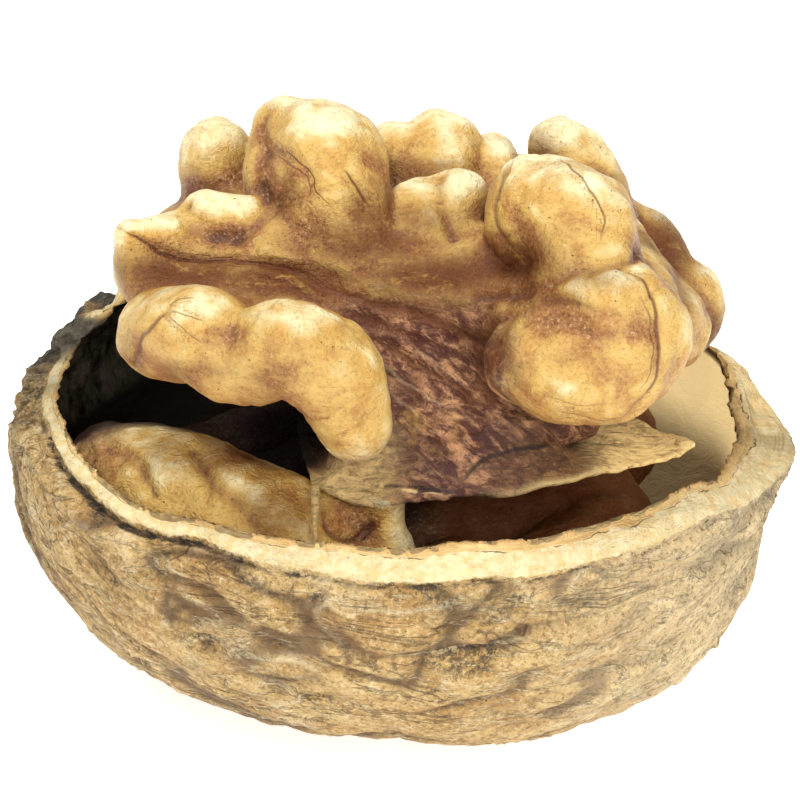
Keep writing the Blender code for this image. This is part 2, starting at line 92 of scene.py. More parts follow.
# Folds of the kernel: points (x, y, z, radius) along the middle of each one
UPPER_FOLDS = {
    "crown_left": [(-4.0, 1.0, 31.5, 3.2), (-3.4, -1.0, 29.8, 2.9), (-2.6, -2.0, 27.1, 2.6)],
    "crown_left_shoulder": [(-6.1, 3.0, 32.4, 1.9), (-6.2, 1.5, 30.7, 2.2), (-5.3, 0.0, 28.5, 2.4)],
    "back_left_knob": [(-10.0, 6.0, 29.4, 2.2), (-9.5, 5.0, 27.4, 2.2), (-8.5, 3.0, 25.0, 3.0)],
    "small_knob": [(-10.2, -1.6, 29.3, 1.4), (-8.4, -1.8, 28.9, 1.6), (-6.2, -2.0, 27.6, 1.9)],
    "wing": [(-13.9, -4.0, 29.4, 0.9), (-11.9, -3.2, 28.8, 1.2), (-9.9, -2.7, 27.8, 1.4)],
    "brow": [
        (-13.8, -3.9, 28.3, 0.9), (-9.5, -4.6, 27.1, 1.0), (-6.0, -5.0, 26.5, 1.0), (-2.0, -5.1, 26.1, 1.0),
        (2.0, -4.8, 25.7, 1.1), (5.0, -5.2, 25.9, 1.4),
    ],
    "brow_flank": [
        (-11.8, -2.4, 27.8, 1.7), (-8.5, -2.6, 26.9, 2.2), (-4.0, -2.6, 26.6, 2.6), (0.5, -2.6, 26.3, 2.6),
        (4.5, -2.6, 26.5, 2.6),
    ],
    "left_cheek": [
        (-12.9, -3.6, 26.8, 1.9), (-9.5, -4.4, 25.3, 2.2), (-6.0, -5.2, 24.0, 2.4), (-3.0, -5.0, 23.0, 2.4),
    ],
    "bean": [
        (-12.6, -7.0, 25.1, 2.2), (-10.3, -9.0, 26.2, 2.5), (-8.0, -9.9, 25.1, 2.3),
        (-5.6, -10.8, 26.3, 2.5), (-3.5, -11.0, 25.0, 2.5), (-2.5, -10.8, 22.2, 2.1),
    ],
    "bean_root": [(-10.5, -7.5, 25.2, 2.0), (-7.5, -7.0, 24.5, 2.4), (-4.0, -7.5, 24.5, 2.2)],
    "cheek_low": [(6.6, -9.5, 24.8, 2.3), (8.6, -10.5, 24.7, 2.6), (11.2, -10.2, 24.8, 2.6)],
    "cheek_right": [(8.2, -8.0, 27.0, 2.3), (10.7, -8.8, 28.0, 2.6), (12.5, -8.8, 26.0, 2.5)],
    "cheek_root": [(7.5, -6.0, 25.5, 3.0), (11.5, -5.5, 25.5, 3.2)],
    "crown_right": [(7.3, -3.5, 30.4, 3.0), (9.0, -4.5, 30.2, 3.2), (9.8, -6.5, 28.9, 2.6)],
    "middle_knob": [(2.9, 0.5, 29.4, 1.7), (2.1, -1.0, 28.4, 2.0), (2.4, -2.5, 26.2, 2.1)],
    "middle_knob_left": [(0.8, 0.5, 29.1, 1.4), (0.5, -1.0, 27.8, 1.9), (0.3, -2.5, 25.7, 2.1)],
    "back_crown": [(2.3, 7.0, 29.8, 2.0), (2.2, 5.0, 28.6, 2.2), (2.0, 4.0, 26.0, 3.0)],
    "back_crown_right": [(5.1, 8.0, 28.8, 1.2), (4.9, 6.0, 28.2, 1.6), (4.5, 5.0, 26.0, 2.2)],
    "back_crown_left": [(-0.4, 6.0, 30.0, 1.5), (-0.3, 5.0, 28.0, 1.8), (-0.5, 4.0, 26.0, 2.2)],
    "tall_right": [
        (8.8, 6.0, 30.0, 1.8), (10.2, 5.7, 28.7, 1.8), (10.9, 5.0, 27.0, 1.8), (11.0, 4.0, 25.0, 2.4),
    ],
    "tall_right_root": [(9.0, 5.5, 28.5, 1.8), (9.0, 4.5, 26.0, 2.6)],
    "right_fold": [
        (12.0, 6.0, 25.4, 1.6), (13.7, 5.0, 24.9, 1.6), (14.3, 4.0, 23.4, 1.6), (13.6, 3.0, 21.8, 2.0),
    ],
    "right_end": [
        (14.8, 4.2, 22.9, 1.5), (16.1, 3.8, 22.4, 1.4), (16.2, 3.5, 20.9, 1.4), (15.2, 3.0, 19.9, 1.5),
    ],
    "right_top_fold": [(12.6, -0.5, 25.0, 1.9), (11.2, 2.0, 26.0, 1.9), (8.6, 3.0, 26.8, 1.9)],
    "top_fold": [(4.6, 1.0, 27.4, 1.6), (6.6, 2.4, 27.6, 1.7), (6.4, 4.6, 27.0, 1.8)],
    "top_fold_left": [(-6.6, 4.6, 28.2, 1.7), (-4.4, 5.6, 28.0, 1.8), (-3.0, 7.6, 27.0, 1.9)],
    "right_front": [(12.8, -4.0, 24.0, 2.2), (14.4, -1.0, 22.8, 2.2), (14.3, 2.0, 21.5, 2.2)],
    "left_back_fold": [
        (-11.2, 1.0, 26.3, 2.2), (-11.2, 4.2, 25.4, 2.2), (-10.0, 6.6, 23.6, 2.2), (-8.2, 8.0, 21.4, 2.2),
    ],
    "back_fold_left": [
        (-7.6, 7.4, 27.2, 2.2), (-5.4, 9.4, 25.6, 2.4), (-5.6, 10.6, 22.8, 2.4), (-4.2, 10.6, 20.2, 2.3),
    ],
    "back_fold_middle": [
        (-3.2, 8.6, 27.6, 1.9), (-1.4, 10.2, 25.2, 2.2), (-1.6, 11.2, 22.4, 2.2), (0.2, 10.9, 19.9, 2.2),
    ],
    "back_fold_right": [
        (1.2, 8.8, 27.0, 2.0), (3.6, 9.9, 25.4, 2.3), (2.8, 11.2, 22.8, 2.2), (4.4, 10.6, 20.0, 2.3),
    ],
    "back_fold_far_right": [
        (6.6, 8.8, 26.3, 2.0), (9.2, 8.8, 24.6, 2.3), (7.6, 10.2, 22.4, 2.2), (8.8, 9.3, 19.9, 2.2),
    ],
    "back_right_end": [(12.2, 6.8, 23.4, 2.2), (11.8, 7.6, 21.4, 2.1), (12.8, 6.6, 19.9, 2.0)],
    "core_front": [
        (-9.0, 0.5, 23.5, 4.2), (-4.0, 0.5, 22.8, 4.8), (3.0, 0.5, 22.4, 4.8), (9.0, 0.0, 23.0, 4.6),
        (12.0, 1.0, 22.6, 3.4),
    ],
    "core_back": [
        (-8.0, 5.0, 22.5, 3.9), (-2.0, 6.0, 22.2, 4.6), (4.0, 6.0, 22.0, 4.6), (10.0, 4.5, 22.0, 3.9),
    ],
    "throat": [(-2.5, -3.0, 24.0, 3.0), (0.5, -3.0, 24.0, 3.0), (3.5, -2.8, 23.8, 3.0)],
    "throat_low": [(-2.5, -3.6, 21.4, 3.2), (1.0, -3.8, 21.2, 3.3), (5.0, -3.2, 21.4, 3.3)],
    "skirt": [
        (-2.0, -5.4, 19.3, 2.0), (0.5, -6.4, 19.1, 2.3), (4.5, -6.0, 19.2, 2.3), (8.6, -4.6, 19.9, 2.3),
    ],
}
LOWER_FOLDS = {
    "front_left": [
        (-15.0, -3.6, 14.8, 3.2), (-12.4, -6.2, 15.2, 3.7), (-8.5, -8.5, 14.6, 3.9),
        (-5.6, -9.8, 13.9, 3.4),
    ],
    "front_left_bump": [(-13.4, -5.2, 16.4, 1.9), (-11.0, -7.0, 16.6, 1.7), (-8.4, -7.8, 16.0, 1.7)],
    "stem_end": [(-14.8, -1.0, 9.8, 3.2), (-14.6, 3.0, 10.0, 3.2)],
    "middle_ball": [(-2.7, -8.9, 15.5, 1.15), (-2.7, -8.4, 14.2, 1.4), (-2.6, -6.5, 11.5, 3.0)],
    "pillar": [
        (-0.8, -8.6, 16.9, 1.3), (-0.7, -9.1, 15.8, 1.0), (-0.7, -9.4, 14.4, 1.05), (-0.9, -9.5, 12.4, 2.2),
    ],
    "pillar_left": [(-3.6, -8.6, 16.7, 0.8), (-2.4, -8.7, 16.9, 0.7), (-1.2, -8.7, 16.7, 0.9)],
    "pillar_foot": [(-4.0, -9.6, 12.8, 1.3), (-2.6, -9.9, 12.9, 1.0), (-1.2, -9.9, 12.9, 1.4)],
    "front_right": [(2.5, -7.0, 8.6, 3.4), (7.5, -7.0, 8.4, 3.6), (11.5, -4.5, 9.0, 3.4)],
    "deep_lumps": [
        (3.0, -6.0, 10.8, 1.5), (5.2, -7.0, 10.6, 1.4), (8.2, -5.6, 11.4, 1.6), (11.0, -3.0, 11.8, 1.7),
    ],
    "back_left": [(-13.6, 4.4, 9.6, 3.0), (-10.6, 7.0, 9.4, 3.2), (-6.0, 8.8, 9.6, 3.4)],
    "back_middle": [(-2.0, 10.2, 13.4, 3.5), (3.0, 10.2, 13.2, 3.5)],
    "back_right": [(7.5, 8.8, 12.8, 3.5), (11.2, 6.0, 12.2, 3.3)],
    "core": [(-10.0, 0.0, 9.0, 5.0), (-3.0, 0.0, 8.2, 5.6), (4.0, 0.0, 8.0, 5.6), (9.5, 0.0, 9.0, 4.8)],
    "core_high": [
        (-7.0, 1.0, 9.6, 3.6), (-3.0, 1.6, 11.6, 3.4), (3.0, 2.0, 13.0, 3.6), (8.0, 2.0, 12.5, 3.4),
    ],
}

# Lines on the cleft's side of the kernel: (nearest and farthest y), depth of cut, darkness and points. A
# point is (x, height up that side, width), with the height measured square to the slope. A line with no
# darkness only shapes the skin, and one with a negative depth is a ridge.
# A line with negative darkness is painted pale along it, as a painted highlight on a ridge or streak. The
# dark lines of the brow and along the seams between lobes are painted shade in those creases; the veins are
# the skin's own.
UPPER_LINES = {
    "brow": ((-9.0, -1.0), 0.32, 0.85, [
        (-15.3, 9.4, 0.07), (-13.6, 8.4, 0.09), (-12.2, 7.65, 0.1), (-10.4, 7.4, 0.1), (-7.9, 7.2, 0.12),
        (-5.8, 6.8, 0.18), (-4.4, 6.0, 0.34), (-2.4, 5.3, 0.42), (0.0, 4.6, 0.42), (2.2, 3.9, 0.36),
        (3.8, 2.8, 0.28), (4.9, 1.4, 0.2),
    ]),
    "brow_ridge": ((-9.0, -1.0), -0.14, 0.0, [
        (-7.0, 7.6, 0.1), (-4.4, 7.1, 0.14), (-2.0, 6.2, 0.14), (0.6, 5.5, 0.16), (3.2, 5.1, 0.16),
        (5.2, 5.0, 0.1),
    ]),
    "brow_gleam": ((-9.0, -1.0), -0.2, 0.0, [(-4.6, 7.6, 0.25), (-3.6, 7.2, 0.35), (-2.6, 6.7, 0.25)]),
    "brow_gleam_low": ((-9.0, -1.0), -0.12, 0.0, [(-6.4, 6.4, 0.2), (-5.2, 6.0, 0.3), (-4.4, 5.5, 0.2)]),
    "shade_under_brow": ((-8.0, -1.0), 0.2, 0.45, [
        (-8.6, 6.7, 0.2), (-6.4, 6.1, 0.3), (-4.6, 5.2, 0.35), (-2.6, 4.4, 0.35), (-0.6, 3.7, 0.3),
        (1.6, 3.0, 0.2),
    ]),
    "bean_vein": ((-13.5, -4.0), 0.12, 0.75, [
        (-11.8, 4.7, 0.1), (-12.2, 4.2, 0.14), (-13.2, 3.0, 0.16), (-13.7, 1.9, 0.14), (-13.9, 0.9, 0.1),
    ]),
    "bean_fan_high": ((-13.5, -4.0), 0.05, 0.6, [
        (-11.9, 4.6, 0.07), (-11.2, 5.0, 0.05), (-10.2, 5.1, 0.05),
    ]),
    "bean_fan_middle": ((-13.5, -4.0), 0.05, 0.55, [
        (-9.8, 3.9, 0.05), (-10.9, 4.3, 0.05), (-11.8, 4.5, 0.07),
    ]),
    "bean_fan_low": ((-13.5, -4.0), 0.05, 0.5, [(-11.9, 4.4, 0.07), (-10.9, 3.6, 0.05), (-9.9, 2.8, 0.05)]),
    "crown_vein": ((-8.0, 5.0), 0.07, 0.8, [
        (-7.2, 13.1, 0.08), (-6.1, 13.0, 0.06), (-5.4, 12.6, 0.06), (-4.6, 11.6, 0.06), (-4.4, 10.9, 0.05),
        (-3.6, 9.9, 0.05),
    ]),
    "crown_vein_twin": ((-8.0, 5.0), 0.05, 0.6, [
        (-4.7, 10.4, 0.05), (-4.8, 11.2, 0.05), (-5.3, 12.0, 0.05), (-6.2, 12.5, 0.05), (-7.1, 12.8, 0.05),
    ]),
    "crown_right_vein": ((-8.0, 5.0), 0.07, 0.8, [
        (-2.8, 12.0, 0.06), (-2.4, 11.4, 0.09), (-2.0, 10.7, 0.09), (-1.5, 10.1, 0.05),
    ]),
    "crown_shoulder": ((-6.0, 6.0), 0.3, 0.2, [
        (-7.2, 15.5, 0.4), (-7.5, 14.3, 0.45), (-7.3, 13.1, 0.4), (-7.6, 12.0, 0.3),
    ]),
    "crown_side": ((-7.0, 5.0), 0.14, 0.45, [
        (-0.8, 13.4, 0.2), (-0.4, 12.0, 0.25), (-0.6, 10.8, 0.2), (-0.3, 9.4, 0.15),
    ]),
    "knob_left": ((-6.0, 3.0), 0.5, 0.12, [
        (-11.2, 10.4, 0.5), (-10.9, 9.5, 0.6), (-10.0, 8.8, 0.6), (-8.7, 8.4, 0.5),
    ]),
    "knob_right": ((-6.0, 3.0), 0.42, 0.12, [
        (-7.3, 11.2, 0.45), (-7.0, 10.2, 0.5), (-7.4, 9.2, 0.5), (-8.2, 8.5, 0.45),
    ]),
    "middle_knobs": ((-7.0, 3.0), 0.36, 0.2, [
        (2.1, 12.2, 0.4), (2.0, 11.0, 0.45), (2.4, 9.8, 0.4), (2.8, 8.6, 0.35),
    ]),
    "cheek_vein": ((-14.0, -4.0), 0.14, 0.85, [
        (11.3, 6.9, 0.08), (12.5, 5.9, 0.12), (13.0, 4.1, 0.13), (13.1, 2.1, 0.13), (12.9, 0.8, 0.11),
        (11.7, -0.6, 0.08),
    ]),
    "cheek_vein_twin": ((-14.0, -4.0), 0.03, 0.5, [
        (12.0, 0.2, 0.05), (12.6, 1.4, 0.05), (12.7, 3.6, 0.05), (12.2, 5.4, 0.05),
    ]),
    "cheek_low_edge": ((-14.0, -3.0), 0.2, 0.3, [
        (4.7, 2.9, 0.3), (5.6, 4.1, 0.35), (7.4, 4.9, 0.3), (9.2, 4.8, 0.25), (10.2, 4.2, 0.15),
    ]),
    "cheek_top": ((-12.0, -1.0), 0.5, 0.2, [
        (4.3, 5.2, 0.5), (6.5, 5.7, 0.55), (8.7, 6.5, 0.5), (10.9, 7.1, 0.4), (12.6, 7.5, 0.3),
    ]),
    "cheek_wrinkle": ((-14.0, -6.0), 0.05, 0.45, [
        (7.6, -0.6, 0.05), (9.4, -0.9, 0.05), (11.2, -0.7, 0.05), (12.6, 0.2, 0.05),
    ]),
    "cheek_wrinkle_low": ((-14.0, -6.0), 0.05, 0.35, [
        (7.2, 0.2, 0.05), (8.8, -0.2, 0.05), (10.6, -0.1, 0.05),
    ]),
    "crown_right_side": ((-8.0, 3.0), 0.18, 0.55, [
        (5.6, 12.2, 0.1), (4.9, 10.8, 0.14), (4.7, 9.4, 0.16), (5.4, 7.8, 0.14),
    ]),
    "crown_right_hair": ((-11.0, 3.0), 0.07, 0.7, [
        (7.8, 13.1, 0.07), (8.8, 11.9, 0.08), (9.8, 10.7, 0.08), (10.4, 9.5, 0.07), (10.2, 8.0, 0.06),
    ]),
    "cleft_streak_high": ((-8.6, -2.0), -0.16, -0.12, [
        (-2.4, 2.7, 0.16), (-0.4, 1.4, 0.14), (1.4, 0.2, 0.14), (2.8, -0.6, 0.1),
    ]),
    "cleft_streak_low": ((-8.6, -2.0), -0.12, -0.1, [
        (-2.2, 1.4, 0.14), (-0.4, 0.2, 0.14), (1.2, -1.0, 0.12),
    ]),
    "cleft_streak_side": ((-8.6, -2.0), -0.12, -0.1, [(0.2, 2.9, 0.12), (1.8, 1.9, 0.14), (3.4, 0.6, 0.1)]),
    "cleft_furrow": ((-8.6, -2.0), 0.2, 0.6, [
        (-1.4, 3.2, 0.16), (0.8, 1.8, 0.2), (2.8, 0.8, 0.2), (4.2, -0.6, 0.16),
    ]),
    "cleft_furrow_low": ((-8.9, -2.0), 0.18, 0.5, [
        (-1.8, -0.6, 0.14), (0.4, -1.8, 0.2), (2.8, -2.2, 0.18), (5.0, -1.6, 0.14),
    ]),
}
SHEET_LINES = {
    "seam": ((-12.0, 2.0), 0.12, 0.9, [
        (3.0, -4.5, 0.12), (4.3, -3.1, 0.16), (6.5, -2.5, 0.16), (9.8, -1.9, 0.1),
    ]),
    "front_line": ((-12.0, 2.0), 0.16, 1.0, [(-1.7, -4.5, 0.12), (0.5, -4.45, 0.18), (3.0, -4.75, 0.14)]),
    "pale_ridge": ((-12.0, 2.0), -0.1, -0.7, [
        (-3.6, -3.9, 0.08), (-2.4, -4.1, 0.1), (0.4, -4.7, 0.1), (2.8, -4.95, 0.08),
    ]),
    "tip_fold": ((-12.0, 2.0), 0.06, 0.6, [(9.4, -2.2, 0.08), (11.4, -2.4, 0.1), (13.8, -2.6, 0.08)]),
    "tip_ridge": ((-12.0, 2.0), -0.08, -0.6, [(8.6, -1.4, 0.08), (11.0, -1.9, 0.1), (14.4, -2.7, 0.08)]),
}
LOWER_LINES = {
    "front_left_vein": ((-14.0, -2.0), 0.06, 0.4, [
        (-15.6, -1.9, 0.07), (-13.6, -3.1, 0.09), (-12.9, -4.6, 0.07),
    ]),
    "front_left_hair": ((-14.0, -2.0), 0.08, 0.35, [
        (-10.6, -2.4, 0.07), (-9.8, -4.0, 0.09), (-10.2, -5.8, 0.07),
    ]),
    "front_left_arc": ((-14.0, -2.0), 0.22, 0.15, [
        (-15.6, -2.6, 0.3), (-13.8, -3.2, 0.4), (-12.9, -4.9, 0.3),
    ]),
    "front_left_seam": ((-14.0, -2.0), 0.34, 0.2, [
        (-10.9, -2.6, 0.4), (-9.5, -4.4, 0.5), (-7.8, -5.8, 0.5), (-7.0, -7.4, 0.4),
    ]),
    "ball_lip": ((-12.0, -5.0), 0.16, 0.7, [
        (-3.9, -5.6, 0.12), (-3.4, -6.9, 0.16), (-2.4, -7.3, 0.16), (-1.5, -6.6, 0.12),
    ]),
}

# Browner patches on that side, mostly painted shade under and between the lobes: (x, height up it, half
# width, half height, nearest and farthest y, strength)
UPPER_BROWN_SHADE = {
    "under_crown": (-1.8, 8.0, 4.8, 1.5, -8.0, 3.0, 0.85),
    "over_cleft": (1.8, 6.4, 5.2, 1.6, -9.0, 3.0, 1.0),
    "under_crown_right": (5.4, 6.9, 3.0, 1.3, -10.0, 2.0, 0.95),
    "beside_cheek": (4.9, 2.4, 1.1, 2.6, -11.0, -3.0, 0.8),
    "over_bean": (-6.2, 6.2, 5.0, 1.2, -8.0, 0.0, 1.0),
    "left_cheek_low": (-11.2, 6.6, 4.6, 1.1, -8.0, 0.0, 1.0),
    "back_right": (14.4, 8.2, 2.0, 2.4, 0.0, 9.0, 1.0),
    "tall_right_side": (7.5, 12.4, 1.1, 1.9, 1.0, 9.0, 1.0),
    "tall_right_low": (9.8, 11.6, 2.4, 0.8, 1.0, 9.0, 0.9),
    "right_end_low": (16.2, 3.8, 2.2, 1.2, -1.0, 8.0, 1.0),
    "back_left_foot": (-11.2, 10.8, 2.6, 1.0, 0.0, 9.0, 0.8),
    "between_crowns": (1.0, 9.4, 2.8, 1.0, -7.0, 3.0, 0.6),
    "crown_low_left": (-6.0, 10.4, 1.1, 1.6, -7.0, 3.0, 0.5),
    "crown_low_right": (-1.6, 9.8, 1.4, 1.5, -7.0, 3.0, 0.7),
    "cheek_right_side": (14.6, 5.0, 0.8, 3.2, -8.0, 0.0, 0.7),
    "cheek_middle": (6.8, 5.2, 2.4, 0.5, -14.0, -3.0, 0.7),
    "cheek_shade": (9.8, 6.2, 2.2, 0.8, -14.0, -1.0, 0.5),
    "bean_fold": (-6.6, 1.0, 1.2, 1.2, -14.0, -7.0, 0.5),
    "bean_all": (-6.0, 2.4, 5.6, 2.6, -14.0, -7.5, 0.13),
    "bean_saddle": (-8.9, 4.3, 1.0, 0.5, -9.5, -2.0, 0.35),
    "bean_left": (-13.9, 1.8, 0.9, 1.8, -14.0, -4.0, 0.5),
    "bean_low": (-10.8, 1.4, 2.2, 0.6, -14.0, -4.0, 0.5),
    "behind_middle": (1.0, 12.4, 3.4, 0.7, 1.0, 9.0, 0.7),
}
LOWER_BROWN_SHADE = {
    "left_end": (-16.6, -1.4, 1.6, 1.2, -10.0, 2.0, 0.6),
    "beside_gap": (-7.4, -2.8, 3.6, 1.1, -10.0, 2.0, 1.0),
    "beside_fin": (-6.4, -6.0, 1.9, 2.2, -14.0, -4.0, 0.7),
    "under_sheet": (-2.4, -5.2, 3.4, 0.7, -14.0, -4.0, 0.6),
    "pillar_right": (0.6, -6.6, 0.8, 2.6, -14.0, -4.0, 0.5),
    "lying_top": (-11.0, -3.0, 4.6, 0.9, -10.0, 2.0, 0.4),
    "bowl": (-2.8, -7.9, 0.9, 0.5, -14.0, -4.0, 0.9),
}

# Partition: plan outline (x, y) of the sheet, and the upright fin under it
PARTITION_CENTRE = (3.0, -1.0)
PARTITION_OUTLINE = [
    (15.6, -5.3), (12.6, -6.9), (8.3, -9.0), (3.1, -9.9), (-1.0, -10.0), (-4.2, -9.0), (-5.4, -4.0),
    (-5.0, 2.5), (-1.0, 6.6), (5.0, 6.8), (10.4, 3.4), (12.9, -2.4),
]
PARTITION_HEIGHT = 17.5
FIN_X = -4.4
FIN_Y = (-12.4, -6.0)
FIN_Z = (11.5, 17.5)
FIN_THINNER = 0.7

# Colours that the kernel and the partition share
CLEFT_DARK = (0.085, 0.027, 0.020)
CLEFT_LIGHT = (0.60, 0.31, 0.155)

# Stage: the floor in millimetres, then each light's place and size and the nut's middle in metres
FLOOR_CORNERS = 64
FLOOR_RADIUS = 900.0
LIGHTS = (
    ("key", (-0.11, -0.21, 0.31), 0.11, (1.0, 0.99, 0.96)),
    ("front", (0.03, -0.29, 0.17), 0.14, (1.0, 0.99, 0.96)),
    ("top", (-0.06, 0.03, 0.38), 0.16, (1.0, 1.0, 1.0)),
    ("fill", (0.26, -0.22, 0.20), 0.18, (1.0, 0.98, 0.95)),
)
NUT_MIDDLE = 0.02


# Number work shared by all pieces


def near(angle, at_degrees, width_degrees):
    """A smooth bump round the shell: 1 at one polar angle, falling to 0 on both sides."""
    off = np.abs((angle - math.radians(at_degrees) + math.pi) % (2 * math.pi) - math.pi)
    return np.exp(-((off / math.radians(width_degrees)) ** 2))


def ease(value, low, high):
    """0 below low, 1 above high, and a smooth rise between them."""
    t = np.clip((value - low) / (high - low), 0, 1)
    return t * t * (3 - 2 * t)


def random_field(points, size, seed):
    """A smooth uneven field of about -1 to 1: random slopes at the corners of cubes of a size, blended."""
    rng = np.random.default_rng(seed)
    slopes = rng.normal(size=(FIELD_CELLS, FIELD_CELLS, FIELD_CELLS, 3)).astype(np.float32)
    slopes /= np.linalg.norm(slopes, axis=-1, keepdims=True)
    turn = np.linalg.qr(rng.normal(size=(3, 3)))[0]
    spot = points @ turn / size + FIELD_SHIFT
    cell = np.floor(spot).astype(int)
    part = spot - cell
    blend = part**3 * (part * (part * 6 - 15) + 10)
    total = 0.0
    for corner in np.ndindex(2, 2, 2):
        at = (cell + corner) % FIELD_CELLS
        slope = slopes[at[..., 0], at[..., 1], at[..., 2]]
        weight = np.prod(np.where(corner, blend, 1 - blend), axis=-1)
        total = total + weight * (slope * (part - corner)).sum(-1)
    return total * FIELD_GAIN


def layered_field(points, size, seed, layers=3, gain=0.5):
    """Several random fields on top of each other, each half as large and weaker by gain."""
    total = 0.0
    for layer in range(layers):
        total = total + gain**layer * random_field(points, size / 2**layer, seed + layer)
    return total


def bent(points, size, amount, seed):
    """The points moved about by random fields, so that a pattern read there has winding lines."""
    moves = [random_field(points, size, seed + axis) for axis in range(3)]
    return points + amount * np.stack(moves, -1)


def furrows(field, width):
    """Lines where a field crosses zero: 1 on the line, falling to 0 over the width."""
    return np.exp(-((field / width) ** 2))


def smooth_path(points, per_radius):
    """Points every part of a radius along a smooth curve (Catmull-Rom) through the given ones, with radii."""
    p = np.array(points, float)
    ends = np.vstack([2 * p[0] - p[1], p, 2 * p[-1] - p[-2]])
    made = []
    for a, b, c, d in zip(ends, ends[1:], ends[2:], ends[3:]):
        steps = max(1, math.ceil(np.linalg.norm(c[:3] - b[:3]) / max(min(b[3], c[3]), 0.3) * per_radius))
        t = np.arange(steps)[:, None] / steps
        bend, twist = 2 * a - 5 * b + 4 * c - d, 3 * b - a - 3 * c + d
        made.append(0.5 * (2 * b + (c - a) * t + bend * t**2 + twist * t**3))
    return np.vstack([*made, p[-1:]])


def ring_faces(rows, around):
    """Quads between neighbouring rings of a grid that is closed round each ring."""
    j = np.arange(around)
    k = (j + 1) % around
    first = (np.arange(rows - 1) * around)[:, None]
    return np.stack([first + j, first + k, first + around + k, first + around + j], -1).reshape(-1, 4)


def fold_tube(path):
    """A round profile carried along a path, with half-ball ends: its rings shrink past both ends."""
    sides, cap = 14, 5
    along = np.gradient(path[:, :3], axis=0)
    along /= np.linalg.norm(along, axis=1, keepdims=True)
    lean = np.where(np.abs(along[:, 2:]) > 0.9, [[1.0, 0, 0]], [[0, 0, 1.0]])
    # One side direction for the whole path, so the rings don't turn against each other.
    side = np.cross(along, lean)
    side = np.where((side * side[:1]).sum(1, keepdims=True) < 0, -side, side)
    side /= np.linalg.norm(side, axis=1, keepdims=True)
    up = np.cross(side, along)
    tilt = np.linspace(math.pi / 2, 0, cap, endpoint=False)[:, None]

    def end(i, sign):
        centre = path[i, :3] + sign * along[i] * path[i, 3] * np.sin(tilt)
        radius = path[i, 3] * np.cos(tilt[:, 0])
        return centre, radius, np.repeat(side[i : i + 1], cap, 0), np.repeat(up[i : i + 1], cap, 0)

    start, finish = end(0, -1), end(len(path) - 1, 1)
    centre = np.vstack([start[0], path[:, :3], finish[0][::-1]])
    radius = np.concatenate([start[1], path[:, 3], finish[1][::-1]])
    side = np.vstack([start[2], side, finish[2]])
    up = np.vstack([start[3], up, finish[3]])
    turn = np.linspace(0, 2 * math.pi, sides, endpoint=False)
    spokes = side[:, None] * np.cos(turn)[None, :, None] + up[:, None] * np.sin(turn)[None, :, None]
    points = centre[:, None] + spokes * radius[:, None, None]
    return points.reshape(-1, 3), ring_faces(len(centre), sides)


# Meshes


def mesh_object(name, points, faces, marks=None):
    """An object from points in millimetres and faces. Marks are numbers per point that its material reads."""
    data = bpy.data.meshes.new(name)
    data.from_pydata((points + ORIGIN_SHIFT) * MM, [], faces)
    data.validate()
    data.update()
    for label, values in (marks or {}).items():
        layer = data.attributes.new(label, "FLOAT", "POINT")
        layer.data.foreach_set("value", np.ascontiguousarray(values, np.float32))
    data.shade_smooth()
    obj = bpy.data.objects.new(name, data)
    bpy.context.scene.collection.objects.link(obj)
    return obj


def evaluated_arrays(obj):
    """Points in millimetres, quads and edges of an object with its modifiers applied."""
    graph = bpy.context.evaluated_depsgraph_get()
    data = bpy.data.meshes.new_from_object(obj.evaluated_get(graph))
    points = np.empty(len(data.vertices) * 3)
    data.vertices.foreach_get("co", points)
    quads = np.empty(len(data.loops), np.int32)
    data.loops.foreach_get("vertex_index", quads)
    edges = np.empty(len(data.edges) * 2, np.int32)
    data.edges.foreach_get("vertices", edges)
    bpy.data.meshes.remove(data)
    return points.reshape(-1, 3) / MM - ORIGIN_SHIFT, quads.reshape(-1, 4), edges.reshape(-1, 2)


def spread(values, edges, rounds):
    """Each point takes the mean of its neighbours and itself, over and over."""
    count = len(values)
    a = np.concatenate([edges[:, 0], edges[:, 1]])
    b = np.concatenate([edges[:, 1], edges[:, 0]])
    shares = np.bincount(a, minlength=count) + 1.0
    columns = values.reshape(count, -1)
    for _ in range(rounds):
        sums = np.stack([np.bincount(a, column[b], minlength=count) for column in columns.T], -1)
        columns = (columns + sums) / shares[:, None]
    return columns.reshape(values.shape)


def outward(points, quads):
    """Unit normals of a quad mesh: the mean of the faces' normals at each point."""
    one, two = points[quads[:, 2]] - points[quads[:, 0]], points[quads[:, 3]] - points[quads[:, 1]]
    face = np.repeat(np.cross(one, two), 4, axis=0)
    total = np.stack([np.bincount(quads.ravel(), values, minlength=len(points)) for values in face.T], -1)
    return total / np.maximum(np.linalg.norm(total, axis=1, keepdims=True), 1e-12)


def largest_piece(points, quads, edges):
    """Drops closed pockets and crumbs: keeps only the points joined to the largest group of points."""
    label = np.arange(len(points))
    while True:
        low = np.minimum(label[edges[:, 0]], label[edges[:, 1]])
        fresh = label.copy()
        np.minimum.at(fresh, edges[:, 0], low)
        np.minimum.at(fresh, edges[:, 1], low)
        fresh = fresh[fresh]
        if (fresh == label).all():
            break
        label = fresh
    keep = label == np.bincount(label).argmax()
    new = np.cumsum(keep) - 1
    return points[keep], new[quads[keep[quads[:, 0]]]], new[edges[keep[edges[:, 0]]]]


# Kernel


